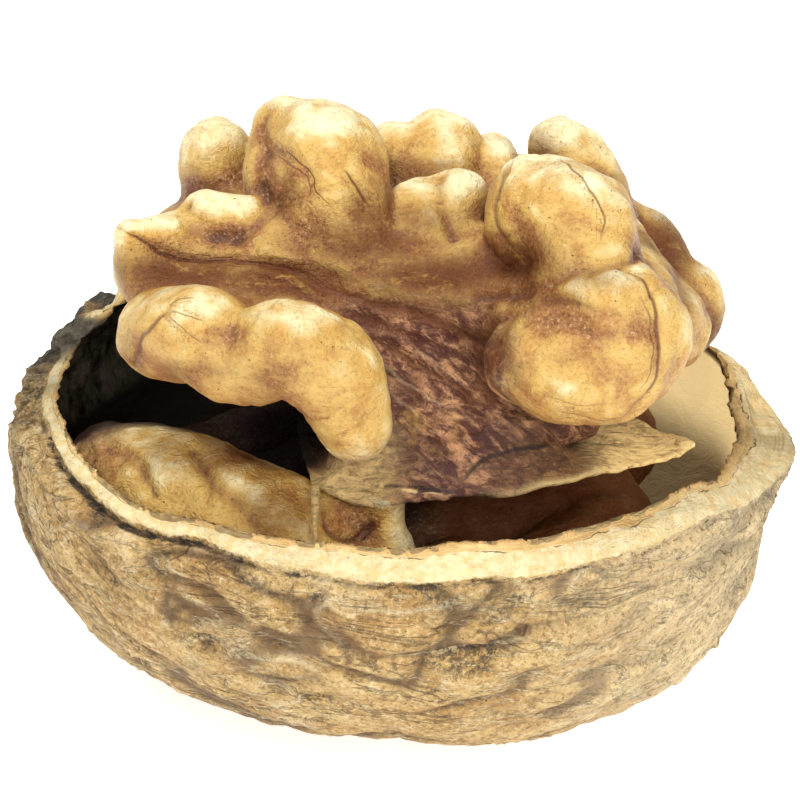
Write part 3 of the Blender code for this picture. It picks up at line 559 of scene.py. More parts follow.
def fold_distance(points, paths, softness):
    """How far points lie outside the folds, which melt into each other over softness, and the way out.

    Each fold's distance is that to its nearest ball. The folds' distances are joined by a soft minimum.
    """
    total = np.full(len(points), 1e-30)
    way = np.zeros_like(points)
    for path in paths:
        reach = path[:, 3].max() + 5 * softness + 0.4
        low, high = path[:, :3].min(0) - reach, path[:, :3].max(0) + reach
        chosen = np.flatnonzero(((points > low) & (points < high)).all(1))
        offset = points[chosen][:, None] - path[None, :, :3]
        length = np.linalg.norm(offset, axis=2)
        best = (length - path[:, 3]).argmin(1)
        row = np.arange(len(chosen))
        distance = length[row, best] - path[best, 3]
        weight = np.exp(-distance / softness)
        total[chosen] += weight
        way[chosen] += weight[:, None] * offset[row, best] / length[row, best][:, None]
    return -softness * np.log(total), way / total[:, None]


def front_place(points):
    """x, and the height up the cleft's side, measured square to its slope from the height aimed at."""
    return np.column_stack([points[:, 0], SLOPE_COS * (points[:, 2] - AIM_HEIGHT) + SLOPE_SIN * points[:, 1]])


def front_facing(normal):
    """1 where the skin faces the cleft's side, 0 where it turns away from it."""
    return ease(SLOPE_SIN * normal[:, 2] - SLOPE_COS * normal[:, 1], 0.0, 0.35)


def drawn_lines(points, normal, lines):
    """Depth of cut, darkness, and the place across the nearest line in widths, negative on one side.

    Only the skin that faces the cleft's side and lies within a line's range of y takes part.
    """
    cut, ink, across = np.zeros(len(points)), np.zeros(len(points)), np.full(len(points), 5.0)
    place = front_place(bent(points, 0.9, 0.12, 40))
    facing = front_facing(normal)
    for (near_y, far_y), deep, darkness, line in lines.values():
        path = smooth_path([(x, v, 0.0, width) for x, v, width in line], 3.0)
        along = np.gradient(path[:, :2], axis=0)
        along /= np.linalg.norm(along, axis=1, keepdims=True)
        low, high = path[:, :2].min(0) - 1.5, path[:, :2].max(0) + 1.5
        inside = ((place > low) & (place < high)).all(1) & (points[:, 1] > near_y) & (points[:, 1] < far_y)
        chosen = np.flatnonzero(inside & (facing > 0))
        offset = place[chosen][:, None] - path[None, :, :2]
        away = np.linalg.norm(offset, axis=2)
        best = away.argmin(1)
        row = np.arange(len(chosen))
        away, offset, width = away[row, best], offset[row, best], path[best, 3]
        side = np.where(along[best, 0] * offset[:, 1] > along[best, 1] * offset[:, 0], 1.0, -1.0)
        fade = np.clip(np.minimum(best, len(path) - 1 - best) / (0.15 * len(path)), 0, 1) * facing[chosen]
        cut[chosen] += deep * np.exp(-((away / np.maximum(width, 0.24)) ** 2)) * facing[chosen]
        nearer = away / width < np.abs(across[chosen])
        ink[chosen[nearer]] = (darkness * np.exp(-((away / 0.5) ** 2)) * fade)[nearer]
        across[chosen[nearer]] = (side * away / width)[nearer]
    return {"cut": cut, "line_ink": ink, "line_across": np.clip(across, -5, 5)}


def brown_shade_patches(points, normal, patches):
    """How brown the skin is, mostly painted shade: the strongest of soft ovals, each fading with the distance
    from its middle.
    """
    place, facing, y = front_place(points), front_facing(normal), points[:, 1]
    total = np.zeros(len(points))
    for x, v, wide, tall, near_y, far_y, strength in patches.values():
        away = ((place[:, 0] - x) / wide) ** 2 + ((place[:, 1] - v) / tall) ** 2
        within = ease(y, near_y - 0.5, near_y + 0.5) * (1 - ease(y, far_y - 0.5, far_y + 0.5))
        total = np.maximum(total, strength * np.exp(-(away**1.3)) * within)
    return total * facing


def grow_kernel(given, name, folds, cell, limit, skin_marks):
    """A kernel half: tubes fused by a voxel remesh, moved onto the soft union of the folds, then wrinkled.

    limit keeps points off the other pieces, and skin_marks gives the marks that the skin follows.
    """
    paths = [smooth_path(points, 4.0) for points in folds.values()]
    all_points, all_faces, count = [], [], 0
    for path in paths:
        points, faces = fold_tube(path)
        all_points.append(limit(points))
        all_faces.append(faces + count)
        count += len(points)
    rough = mesh_object(name + "_rough", np.vstack(all_points), np.vstack(all_faces))
    fuse = rough.modifiers.new("fuse", "REMESH")
    fuse.mode = "VOXEL"
    fuse.voxel_size = cell
    points, quads, edges = largest_piece(*evaluated_arrays(rough))
    bpy.data.objects.remove(rough)
    for step in range(SETTLE_STEPS):
        distance, way = fold_distance(points, paths, given.softness / MM)
        points = limit(points - np.clip(distance, -0.3, 0.3)[:, None] * way)
        if step < SETTLE_STEPS - 2:
            points = spread(points, edges, 1)
    normal = outward(points, quads)
    marks = skin_marks(points, normal)
    points = limit(points + normal * (given.relief * wrinkles(points, marks))[:, None])
    # Concavity at three sizes, read by the skin's colour as painted shade: darker in creases, hollows and
    # valleys.
    smooth_near, smooth_far = spread(points, edges, FOLD_ROUNDS), spread(points, edges, HOLLOW_ROUNDS)
    marks["fold"] = ((smooth_near - points) * normal).sum(1)
    marks["hollow"] = ((smooth_far - points) * normal).sum(1)
    marks["valley"] = ((spread(smooth_far, edges, VALLEY_ROUNDS) - points) * normal).sum(1)
    # Painted shade on the undersides: how far the skin faces down.
    marks["under"] = ease(-outward(points, quads)[:, 2], -0.05, 0.85)
    return mesh_object(name, points, quads, marks)


def wrinkles(points, marks):
    """Height of the skin in millimetres: soft lumps, winding creases, cut lines, streaks in the cleft."""
    winding = bent(points, 3.0, 0.8, 5)
    lumps = 0.26 * layered_field(winding, 2.9, 11, 2)
    creases = -0.10 * furrows(random_field(winding, 3.0, 17), 0.06)
    creases = creases * ease(random_field(points, 5.0, 19), -0.1, 0.5)
    fine = 0.03 * layered_field(points, 1.0, 23, 2)
    streak = points @ np.array([[0.45, 0.0, 0.35], [0.0, 1.0, 0.0], [0.2, 0.0, 1.6]])
    streaks = 0.14 * layered_field(bent(streak, 2.0, 0.5, 29), 1.4, 31, 2)
    return lumps + creases + fine + marks["cleft"] * streaks - marks.pop("cut")


def upper_marks(points, normal):
    """Marks of the standing kernel: its purple cleft, painted shadow under the brow, brown patches that are
    mostly painted shade, drawn lines, and pale tops where a painted highlight falls from above.
    """
    x, y, z = points.T
    low = ease(22.5 - z, 0, 1.5)
    between = ease(x + 5.0 * low, -4.5, -2.0) * (1 - ease(x - 0.9 * np.clip(21.5 - z, 0, 4), 4.8, 7.0))
    on_bean = (x < 0.6) & (z > 20.2)
    cleft = between * ease(27.4 - z, 0, 1.6) * ease(-y, 3.2 - 3 * low, 5.0 - 3 * low)
    cleft *= np.where(on_bean, ease(y, -9.2, -8.2), 1.0)
    # Painted shadow in a band under the brow's ridge.
    shade_under_brow = ease(x, -12.5, -8.0) * (1 - ease(x, -3.0, -1.0))
    shade_under_brow *= np.exp(-(((z - 25.6 + 0.12 * (x + 12)) / 1.2) ** 2))
    shade_under_brow *= ease(-y, 4.0, 5.5) * (1 - ease(-y, 7.0, 8.0))
    skirt = ease(22.2 - z, 0, 1.0) * (1 - ease(x, 11.6, 13.0)) * ease(y, -9.4, -8.6)
    marks = drawn_lines(points, normal, UPPER_LINES)
    marks["cleft"] = np.clip(np.maximum(cleft, skirt) + 0.4 * shade_under_brow, 0, 1)
    marks["shade"] = np.zeros(len(x))
    # Painted highlight: tops that face up are painted paler.
    marks["top"] = ease(normal[:, 2], 0.45, 1.0) * (1 - 0.4 * ease(-y, 7.0, 9.0))
    marks["brown"] = brown_shade_patches(points, normal, UPPER_BROWN_SHADE)
    return marks


def lower_marks(points, normal):
    """Marks of the lying kernel: purple at its left end, brown and dark in the shade under the sheet."""
    x, y, z = points.T
    left_end = (1 - ease(x, -16.4, -13.6)) * ease(z, 13.0, 16.0)
    shade = np.maximum(ease(x, 0.5, 3.0) * (1 - ease(z, 13.5, 15.5)), ease(y, -4.5, -2.5))
    marks = drawn_lines(points, normal, LOWER_LINES)
    marks["cleft"] = np.clip(0.6 * left_end + shade, 0, 1)
    flank = ease(x, -0.5, 0.1) * (1 - ease(x, 1.4, 1.8)) * ease(-y, 7.0, 8.0)
    brown = brown_shade_patches(points, normal, LOWER_BROWN_SHADE)
    marks["brown"] = np.maximum.reduce([brown, 0.95 * shade, 0.35 * flank])
    # A weaker painted highlight on the tops that face up.
    marks["top"] = 0.3 * ease(normal[:, 2], 0.45, 1.0)
    marks["shade"] = ease(y, -5.5, -3.5) * (1 - ease(x, 0.0, 3.0))
    return marks


# Shell


def rim_height(angle):
    """Height of the rim's inner edge: a tilted plane, and places where the shell broke higher or lower."""
    height = 17.3 - 1.7 * np.cos(angle) + (0.12 * np.sin(9 * angle + 1.0) + 0.08 * np.sin(17 * angle))
    for more, at, width in ((3.3, 149, 18), (1.9, 34, 24), (-0.9, 232, 32), (1.5, 318, 26)):
        height = height + more * near(angle, at, width)
    return height


def shell_ring(angle, height):
    """Point on the smooth outer surface: superellipse rings whose size follows another one in height."""
    cos, sin = np.cos(angle), np.sin(angle)
    share = np.where(height > GIRTH_HEIGHT, (height - GIRTH_HEIGHT) / DOME_HEIGHT, 1 - height / GIRTH_HEIGHT)
    power = 2.08 + 0.57 * np.clip(cos, 0, 1) ** 0.5
    size = np.clip(1 - np.abs(share) ** power, 0, 1) ** (1 / power)
    squareness = 2.15
    ring = size * (np.abs(cos) ** squareness + np.abs(sin) ** squareness) ** (-1 / squareness)
    low = np.clip(1 - height / GIRTH_HEIGHT, 0, 1)
    reach = np.where(cos < 0, STEM_REACH - STEM_TAPER * low, TIP_REACH)
    beak = TIP_BEAK * near(angle, 0, 11) * np.exp(-(((height - 15.2) / 1.9) ** 2))
    beak = beak + 1.0 * near(angle, 22, 15) * np.clip(height / 15, 0, 1)
    return np.stack([(reach * ring + beak) * cos, HALF_WIDTH * ring * sin, height], -1)


def inner_edge(angle, height, share):
    """Point on the smooth inside, at a share of the way up from its middle, with a thick wall at the tip."""
    points = shell_ring(angle, height * (1 - np.cos(share * math.pi / 2)))
    thick = WALL + 1.9 * near(angle, 0, 16) * share**4
    flat = np.hypot(points[..., 0], points[..., 1])
    points[..., :2] *= np.clip(1 - thick / np.maximum(flat, 1e-6), 0, 1)[..., None]
    points[..., 2] = WALL + (height - WALL) * (1 - np.cos(share * math.pi / 2))
    return points


def inside_shell(points):
    """Pulls points that lie outside the shell's hollow straight in to its wall."""
    moved = points.copy()
    angle = np.arctan2(moved[:, 1] / HALF_WIDTH, moved[:, 0] / STEM_REACH)
    limit = shell_ring(angle, np.clip(moved[:, 2], 0.0, GIRTH_HEIGHT + 4))
    flat = np.hypot(moved[:, 0], moved[:, 1])
    most = np.maximum(np.hypot(limit[:, 0], limit[:, 1]) - WALL - 0.35, 0.05)
    moved[:, :2] *= np.minimum(1, most / np.maximum(flat, 1e-6))[:, None]
    # The floor rises towards the wall as a bowl does.
    across = np.clip(np.hypot(moved[:, 0] / 19.0, moved[:, 1] / 14.8), 0, 1)
    floor = WALL + 0.4 + 12.0 * (1 - np.sqrt(1 - across**2.6 * 0.97))
    moved[:, 2] = np.maximum(moved[:, 2], floor)
    return moved


def along_the_nut(points):
    """Coordinates in which the grooves run straight: x shortened, the turn about the long axis evened out."""
    x, y, z = np.moveaxis(points, -1, 0)
    rise = z - 17.0 + 0.08 * x
    even = (np.maximum(np.hypot(y, rise), 0.5) / 14.0) ** -0.55
    return np.stack([0.5 * x, y * even, rise * even], -1)


def shell_relief(flow):
    """Height of the outer surface in millimetres, its grooves, ridges and dents, along the nut.

    Grooves are the zero lines of bent random fields, with round pads between them. Ridges are zero lines too.
    """
    winding = bent(flow, 3.2, 1.3, 51)
    broad = layered_field(winding, 4.2, 61, 2)
    closed = 0.6 * ease(random_field(flow, 5.0, 73), -0.1, 0.7)
    main = np.sqrt(random_field(winding, 2.3, 71) ** 2 + closed**2)
    closed = 0.7 * ease(random_field(flow, 3.0, 87), -0.3, 0.4)
    small = np.sqrt(random_field(bent(flow, 2.0, 0.6, 81), 1.3, 83) ** 2 + closed**2)
    ridge = furrows(random_field(bent(flow, 3.5, 0.9, 93), 2.4, 95), 0.055)
    ridge = ridge * ease(random_field(flow, 4.0, 99), -0.3, 0.3)
    dents = ease(random_field(flow, 1.8, 91), 0.40, 0.72)
    fine = layered_field(flow, 0.55, 97, 2)
    height = 0.26 * broad + 0.30 * np.tanh(3.0 * main) + 0.20 * np.tanh(4.0 * small) - 0.36
    height = height + 0.17 * ridge - 0.24 * dents + 0.07 * fine
    grooves = np.clip(1 - np.tanh(3.0 * main) + 0.5 * (1 - np.tanh(4.0 * small)), 0, 1)
    return height, grooves, ridge, dents


def grid_normals(grid):
    """Outward unit normals of a grid of rings: the cross product of its two directions."""
    around = np.roll(grid, -1, axis=1) - np.roll(grid, 1, axis=1)
    up = np.gradient(grid, axis=0)
    normal = np.cross(around, up)
    return normal / np.maximum(np.linalg.norm(normal, axis=-1, keepdims=True), 1e-9)


def shell_grid(relief):
    """The shell's rings, from the middle of its underside up, over the rim and down inside, and its marks."""
    angle = np.linspace(0, 2 * math.pi, AROUND, endpoint=False)[None, :]
    top = rim_height(angle) + 0.5 * near(angle, 159, 6) - 0.4 * near(angle, 169, 5)
    share = np.linspace(0, 1, OUTER_ROWS)[:, None]
    outer = shell_ring(angle + 0 * share, (top - RIM_BEVEL) * (1 - np.cos(share * math.pi / 2)))
    edge_in = inner_edge(angle, top, np.ones_like(angle))[0]
    across = np.linspace(0, 1, RIM_ROWS)[1:, None]
    rim = outer[-1] * (1 - across[..., None]) + edge_in * across[..., None]
    down = np.linspace(1, 0, INNER_ROWS)[1:, None]
    inner = inner_edge(angle + 0 * down, top + 0 * down, down + 0 * angle)
    grid = np.concatenate([outer, rim, inner])
    normal = grid_normals(grid)
    normal[0] = (0, 0, -1)

    # How far down from the rim's inner edge each point lies, and how wide the pale cut face is at that angle.
    face = 1.42 * RIM_BEVEL
    drop_outside, drop_across = face + top - RIM_BEVEL - outer[..., 2], face * (1 - across) + 0 * angle
    drop = np.concatenate([drop_outside, drop_across, inner[..., 2] - top])
    cut_width = face * (0.94 - 0.60 * near(angle, 192, 46) - 0.25 * near(angle, 240, 20))
    below = drop - cut_width + 0.12 * random_field(grid, 1.6, 103)
    inside = np.concatenate([0 * outer[..., 0], 0 * rim[..., 0], 1 + 0 * inner[..., 0]])
    outside = ease(below, -0.05, 0.25) * (1 - inside)
    foot = np.concatenate([np.minimum(1, 4 * share), 1 + 0 * across, 0 * down])

    flow = along_the_nut(grid)
    height, grooves, ridges, dents = shell_relief(flow)
    torn = 0.8 + 0.25 * layered_field(grid * np.array([1.0, 1.0, 2.0]), 1.1, 105, 3)
    # A dark torn band just under the rim: the crack, and painted shadow under the rim's edge.
    crack = np.exp(-(((below - 0.26 - 0.16 * random_field(grid, 1.6, 101)) / 0.21) ** 2)) * (1 - inside)
    cracked = 1.3 * near(angle, 222, 24) + 0.45 * near(angle, 285, 40) + 0.4 * near(angle, 50, 60)
    crack = crack * np.clip(cracked, 0, 1)
    lip = 0.20 * np.exp(-(((below - 1.5) / 0.6) ** 2))
    move = outside * foot * (relief * height * np.clip(0.25 + below / 1.2, 0, 1) + lip) - 0.5 * crack * torn

    # The cut face is layered, and its inner edge is torn into small teeth.
    on_face = (1 - outside) * (1 - inside)
    inward = np.clip(1 - drop / np.maximum(cut_width, 0.3), 0, 1)
    layers = 0.05 * np.tanh(5 * np.sin(inward * 7 + 2.0 * random_field(grid, 3.5, 117)))
    tip = near(angle, 14, 26) * ease(grid[..., 2], 10.0, 14.0)
    teeth = (0.2 + 0.3 * tip) * np.clip(layered_field(grid, 0.6, 119, 2), -0.3, 1) * inward**4
    layers = layers + 0.22 * tip * np.sin(inward * 11 + 2.5 * random_field(grid, 2.5, 115))
    step = 0.16 * ease(inward, 0.55, 0.75) * ease(random_field(grid, 3.0, 118), -0.4, 0.5)
    move = move + on_face * (0.10 * layered_field(grid, 1.1, 111, 3) + layers - step + teeth)

    # The wall inside is smooth, and frayed at the stem.
    stem = near(angle, 152, 20)
    wall = inside * np.clip(6 * (1 - np.concatenate([0 * share, 0 * across, down])), 0, 1)
    fibre = layered_field(grid * np.array([1, 1, 0.4]), 1.4, 123, 3) * stem * ease(grid[..., 2], 13, 16)
    move = move + wall * 0.08 * layered_field(grid, 3.5, 121, 2) + 0.7 * np.clip(fibre, -0.7, 0.6)
    grid = grid + normal * move[..., None]
    grid[..., 2] = np.maximum(grid[..., 2], REST_DEPTH)
    burnt = ease(below, -1.5, 0.0)[:OUTER_ROWS] * ease(outer[..., 2], 16.0, 18.5)
    charred = stem * np.concatenate([burnt, 1 + 0 * rim[..., 0], ease(inner[..., 2], 12, 15)])
    return grid, {
        "below": below,
        "inward": inward,
        "inside": inside,
        "tip": tip,
        "groove": grooves * outside,
        "ridge": ridges * outside,
        "dent": dents * outside,
        "crack": crack * torn,
        "stem": charred * (1 - 0.9 * near(angle, 159, 5) * ease(grid[..., 2], 20.3, 21.0)),
    }


# Partition


def partition_height(x, y):
    """The sheet is dished: lowest along its front edge, rising to the back, with a slow wave."""
    back = np.clip(y + 9.9, 0, None)
    return PARTITION_HEIGHT + 0.016 * back**1.6 + 0.25 * np.sin(0.45 * x + 0.3 * y) * np.clip(back / 4, 0, 1)


def partition_outline(per_side):
    """The sheet's edge: a smooth closed curve through its points, sharp only at its tip."""
    corners = np.array(PARTITION_OUTLINE, float)
    count = len(corners)
    t = (np.arange(per_side) / per_side)[:, None]
    made = []
    for i in range(count):
        a, b, c, d = (corners[(i + k) % count] for k in (-1, 0, 1, 2))
        sharp = 0.15 if i in (0, count - 1) else 0.5
        rise, fall = (t**3 - 2 * t**2 + t) * sharp, (t**3 - t**2) * sharp
        start, finish = 2 * t**3 - 3 * t**2 + 1, -2 * t**3 + 3 * t**2
        made.append(start * b + rise * (c - a) + finish * c + fall * (d - b))
    return np.vstack(made)


def in_partition(points, grow):
    """Whether points lie over or under the sheet, or no farther than grow past its edge."""
    edge = partition_outline(8) - PARTITION_CENTRE
    angle = np.arctan2(edge[:, 1], edge[:, 0])
    order = angle.argsort()
    reach = np.hypot(edge[:, 0], edge[:, 1])[order]
    away = points[:, :2] - PARTITION_CENTRE
    turn = np.arctan2(away[:, 1], away[:, 0])
    return np.hypot(away[:, 0], away[:, 1]) < np.interp(turn, angle[order], reach, period=2 * math.pi) + grow


def above_partition(points):
    """Lifts points that lie under the sheet onto its upper side."""
    moved = points.copy()
    seat = partition_height(moved[:, 0], moved[:, 1]) + 0.45
    under = in_partition(moved, 0.2) & (moved[:, 2] < seat)
    moved[under, 2] = seat[under]
    return moved


def under_partition(points):
    """Keeps the lower kernel in the shell's hollow and below the sheet."""
    moved = inside_shell(points)
    roof = partition_height(moved[:, 0], moved[:, 1]) - 0.5
    over = in_partition(moved, 0.2) & (moved[:, 2] > roof)
    moved[over, 2] = roof[over]
    return moved


def partition_sheet(thickness, crinkle):
    """The papery sheet: rings from its centre out to the edge above and back below, and each ring's share."""
    edge = partition_outline(26)
    frayed = random_field(np.column_stack([edge, 0 * edge[:, 0]]), 0.9, 131) * 0.12
    away = edge - PARTITION_CENTRE
    edge = edge + away / np.linalg.norm(away, axis=1, keepdims=True) * frayed[:, None]
    shares = np.linspace(0, 1, 40) ** 0.8
    plan = PARTITION_CENTRE + (edge - PARTITION_CENTRE)[None] * shares[:, None, None]
    x, y = plan[..., 0], plan[..., 1]
    flat = np.dstack([plan, 0 * x])
    middle = partition_height(x, y)
    middle = middle + crinkle * layered_field(bent(flat, 3.0, 1.0, 141), 2.4, 143, 3)
    middle = middle - crinkle * 0.8 * furrows(random_field(bent(flat, 3.0, 0.8, 147), 2.8, 149), 0.12)
    # The edge droops a little towards the viewer, and the tip curls up.
    front = ease(shares[:, None], 0.82, 1.0) * ease(-y, 6.0, 8.5)
    middle = middle - 0.25 * front * (1 - ease(x, 4.0, 8.0)) + 0.35 * ease(x, 12.5, 15.5)
    middle = middle - 0.45 * front * np.exp(-(((x + 1.2) / 1.8) ** 2))
    half = thickness / 2 * (1 - 0.6 * shares[:, None] ** 8)
    # Its upper side flares up to the cleft, steeper the farther in.
    inset = np.linalg.norm(edge - PARTITION_CENTRE, axis=1) * (1 - shares[:, None])
    flare = 2.8 * np.clip(inset / 1.9, 0, 1) ** 1.6 * ease(-y, 5.5, 7.0)
    flare = flare * ease(x, -4.6, -2.8) * (1 - ease(x, 6.0, 9.5))
    rows = [np.dstack([plan, middle + half + flare]), np.dstack([plan, middle - half])[::-1]]
    both = np.concatenate([shares, shares[::-1]])[:, None]
    return np.concatenate(rows), np.repeat(both, len(edge), axis=1)


def partition_fin(thickness, crinkle):
    """The upright fin: a flat closed tube, wide in y and thin in x, carried upwards."""
    turn = np.linspace(0, 2 * math.pi, 96, endpoint=False)[None, :]
    height = np.linspace(FIN_Z[0], FIN_Z[1], 40)[:, None]
    middle, reach = (FIN_Y[0] + FIN_Y[1]) / 2, (FIN_Y[1] - FIN_Y[0]) / 2
    y = middle + reach * np.sign(np.cos(turn)) * np.abs(np.cos(turn)) ** 0.5 + 0 * height
    x = FIN_X + thickness / 2 * np.sign(np.sin(turn)) * np.abs(np.sin(turn)) ** 0.5 + 0 * height
    points = np.dstack([x, y, height + 0 * turn])
    points[..., 0] += 2.0 * crinkle * random_field(points * np.array([0, 1, 1]), 2.0, 151)
    return points


def capped(grid):
    """Points and faces of a grid of rings whose first and last ring are closed by a point in their middle."""
    rows, around = grid.shape[:2]
    points = np.vstack([grid.reshape(-1, 3), grid[0].mean(0), grid[-1].mean(0)])
    quads = ring_faces(rows, around)
    first, last, end = rows * around, rows * around + 1, (rows - 1) * around
    pairs = [(j, (j + 1) % around) for j in range(around)]
    fans = [(k, j, first) for j, k in pairs] + [(end + j, end + k, last) for j, k in pairs]
    return points, quads.tolist() + fans


def partition_marks(points, share, count):
    """Marks of the sheet, whose points come first, and of the fin, whose points start at count."""
    x, y, z = points.T
    lobe = (1 - ease(x, -1.6, 1.4)) * (1 - ease(y, -8.8, -7.2))
    flap = np.maximum(ease(x, 8.8, 12.2) * (1 - ease(y, -6.5, -3.0) * 0.4), 0.4 * lobe)
    skin = (1 - ease(x - 0.8 * np.clip(z - 17.8, 0, 2), 3.0, 8.5)) * ease(x, -5.0, -3.5) * (1 - lobe)
    shade = (1 - ease(x, -5.0, -2.4)) * ease(y, -8.4, -7.0)
    flap[count:], skin[count:], shade[count:] = 0.45, 0.0, 0.0
    edge = ease(share, 0.965, 1.0) * ease(x, 2.0, 6.0)
    towards = np.tile([0.0, -SLOPE_COS, SLOPE_SIN], (len(points), 1))
    lines = drawn_lines(points, towards, SHEET_LINES)
    return {"edge": edge, "flap": flap, "skin": skin, "shade": shade, **lines}


# Materials


class Level:
    """A node's output. Sums, differences and products of levels add the Math nodes that work them out."""

    def __init__(self, socket):
        self.socket = socket
        self.tree = socket.id_data

    def math(self, operation, a, b=0.5):
        return node(self.tree, "Math", {0: a, 1: b}, operation=operation)

    def __add__(self, other):
        return self.math("ADD", self, other)

    def __sub__(self, other):
        return self.math("SUBTRACT", self, other)

    def __rsub__(self, other):
        return self.math("SUBTRACT", other, self)

    def __mul__(self, other):
        return self.math("MULTIPLY", self, other)

    def __abs__(self):
        return self.math("ABSOLUTE", self)


def larger(a, b):
    return a.math("MAXIMUM", a, b)


def clamp(level):
    """Holds the result of the last sum or difference between 0 and 1."""
    level.socket.node.use_clamp = True
    return level


def feed(made, inputs):
    """Sets a node's inputs, by name or place, to a value or to a level."""
    for key, value in inputs.items():
        if isinstance(value, Level):
            made.id_data.links.new(value.socket, made.inputs[key])
        else:
            made.inputs[key].default_value = value


def node(tree, kind, inputs=None, output=0, **settings):
    """Adds a shader node, and gives one of its outputs."""
    made = tree.nodes.new("ShaderNode" + kind)
    for key, value in settings.items():
        setattr(made, key, value)
    feed(made, inputs or {})
    return Level(made.outputs[output])


def band(level, low, high, to_low=0.0, to_high=1.0):
    """Maps the range from low to high onto another one, held at its ends, with a smooth rise."""
    inputs = {"Value": level, "From Min": low, "From Max": high, "To Min": to_low, "To Max": to_high}
    return node(level.tree, "MapRange", inputs, interpolation_type="SMOOTHSTEP")


def mix(share, a, b, blend="MIX"):
    """Mixes two colours, each of them a level or three numbers."""
    a, b = (value if isinstance(value, Level) else (*value, 1.0) for value in (a, b))
    return node(share.tree, "Mix", {0: share, 6: a, 7: b}, 2, data_type="RGBA", blend_type=blend)


def coat(base, *coats):
    """Lays colours over a base one after another, each with the share of it that shows."""
    for share, tint in coats:
        base = mix(share, base, tint)
    return base


def mark(tree, label):
    return node(tree, "Attribute", output="Fac", attribute_name=label)


def noise(place, per_mm, detail=3.0, rough=0.5, bend=0.0):
    inputs = {"Vector": place, "Scale": per_mm, "Detail": detail, "Roughness": rough, "Distortion": bend}
    return node(place.tree, "TexNoise", inputs, "Fac")


def stretched(place, factors):
    return node(place.tree, "VectorMath", {0: place, 1: factors}, operation="MULTIPLY")


def place_in_mm(tree, stretch=(1.0, 1.0, 1.0)):
    """Object coordinates in millimetres, stretched along the axes for a pattern that runs one way."""
    return stretched(node(tree, "TexCoord", output="Object"), tuple(value / MM for value in stretch))


def thin_lines(place, per_mm, width):
    """Thin winding lines where a cloudy field passes its middle: 1 on the line, 0 off it."""
    return band(abs(noise(place, per_mm, 4.0, 0.6, 0.8) - 0.5), width, 0.0)


def drawn_ink(tree, edge):
    """Darkness of the drawn lines, which fade out at edge times their width. Pale lines, which are painted
    highlights, are negative.
    """
    return mark(tree, "line_ink") * (1.0 - band(abs(mark(tree, "line_across")), 0.1, edge))


def specks(place, per_mm, amount, size):
    """Small dark dots: the middles of scattered cells, only some of which carry one."""
    cells = node(place.tree, "TexVoronoi", {"Vector": place, "Scale": per_mm}, "Color")
    away = Level(cells.socket.node.outputs["Distance"])
    chance = node(place.tree, "SeparateColor", {0: cells})
    outer = size * (chance + 0.6)
    return (1.0 - band(away, outer * 0.45, outer)) * chance.math("LESS_THAN", chance, amount)


def hair_lines(place, per_mm, width):
    """Fine winding lines: where a cloudy field passes one level, kept only in patches."""
    line = 1.0 - band(abs(noise(place, per_mm, 2.0, 0.45, 0.9) - 0.5), 0.0, width)
    return line * band(noise(place, 0.35, 2.0), 0.48, 0.62)


def mottle(place, per_mm):
    """Cloudy variation at two sizes, as one value round 0.5."""
    return noise(place, per_mm, 2.0, 0.5, 0.6) * 0.6 + noise(place, per_mm * 5.0, 4.0, 0.65) * 0.4


def cleft_skin(dark, light):
    """Streaky purple brown of the cleft, with streaks that slant down through it."""
    place = place_in_mm(dark.tree)
    turned = {"Vector": place, "Rotation": (0.0, 0.7, 0.0), "Scale": (2.6, 1.0, 1.0)}
    streaks = noise(node(dark.tree, "Mapping", turned, vector_type="TEXTURE"), 1.5, 6.0, 0.76, 0.5)
    patches = noise(place, 0.5, 3.0, 0.6)
    return mix(band(streaks, 0.43, 0.64) * band(patches, 0.35, 0.60, 0.35, 1.0), dark, light)


# Shader node groups: how each is made, its inputs and its output
NODE_GROUPS = {
    "Specks": (specks, {"Place": "Vector", "Per mm": "Float", "Amount": "Float", "Size": "Float"}, "Float"),
    "Hair lines": (hair_lines, {"Place": "Vector", "Per mm": "Float", "Width": "Float"}, "Float"),
    "Mottle": (mottle, {"Place": "Vector", "Per mm": "Float"}, "Float"),
    "Cleft skin": (cleft_skin, {"Dark": "Color", "Light": "Color"}, "Color"),
}


def use(tree, name, *values):
    """Places a node group in a material with its own values. The group is made when it is first used."""
    build, kinds, result = NODE_GROUPS[name]
    shared = bpy.data.node_groups.get(name)
    if shared is None:
        shared = bpy.data.node_groups.new(name, "ShaderNodeTree")
        for label, kind in kinds.items():
            shared.interface.new_socket(label, in_out="INPUT", socket_type="NodeSocket" + kind)
        shared.interface.new_socket("Result", in_out="OUTPUT", socket_type="NodeSocket" + result)
        given, put = shared.nodes.new("NodeGroupInput"), shared.nodes.new("NodeGroupOutput")
        feed(put, {0: build(*(Level(given.outputs[label]) for label in kinds))})
    made = tree.nodes.new("ShaderNodeGroup")
    made.node_tree = shared
    feed(made, dict(zip(kinds, values)))
    return Level(made.outputs[0])


def new_material(name):
    made = bpy.data.materials.new(name)
    made.use_nodes = True
    return made, made.node_tree


def finish(material, inputs, height, distance_mm):
    """Sets the inputs of a material's shader, and its bump from a height."""
    tree = material.node_tree
    bump = {"Height": height, "Distance": distance_mm * MM, "Strength": 1.0}
    inputs["Normal"] = node(tree, "Bump", bump, "Normal")
    feed(tree.nodes["Principled BSDF"], inputs)
    return material


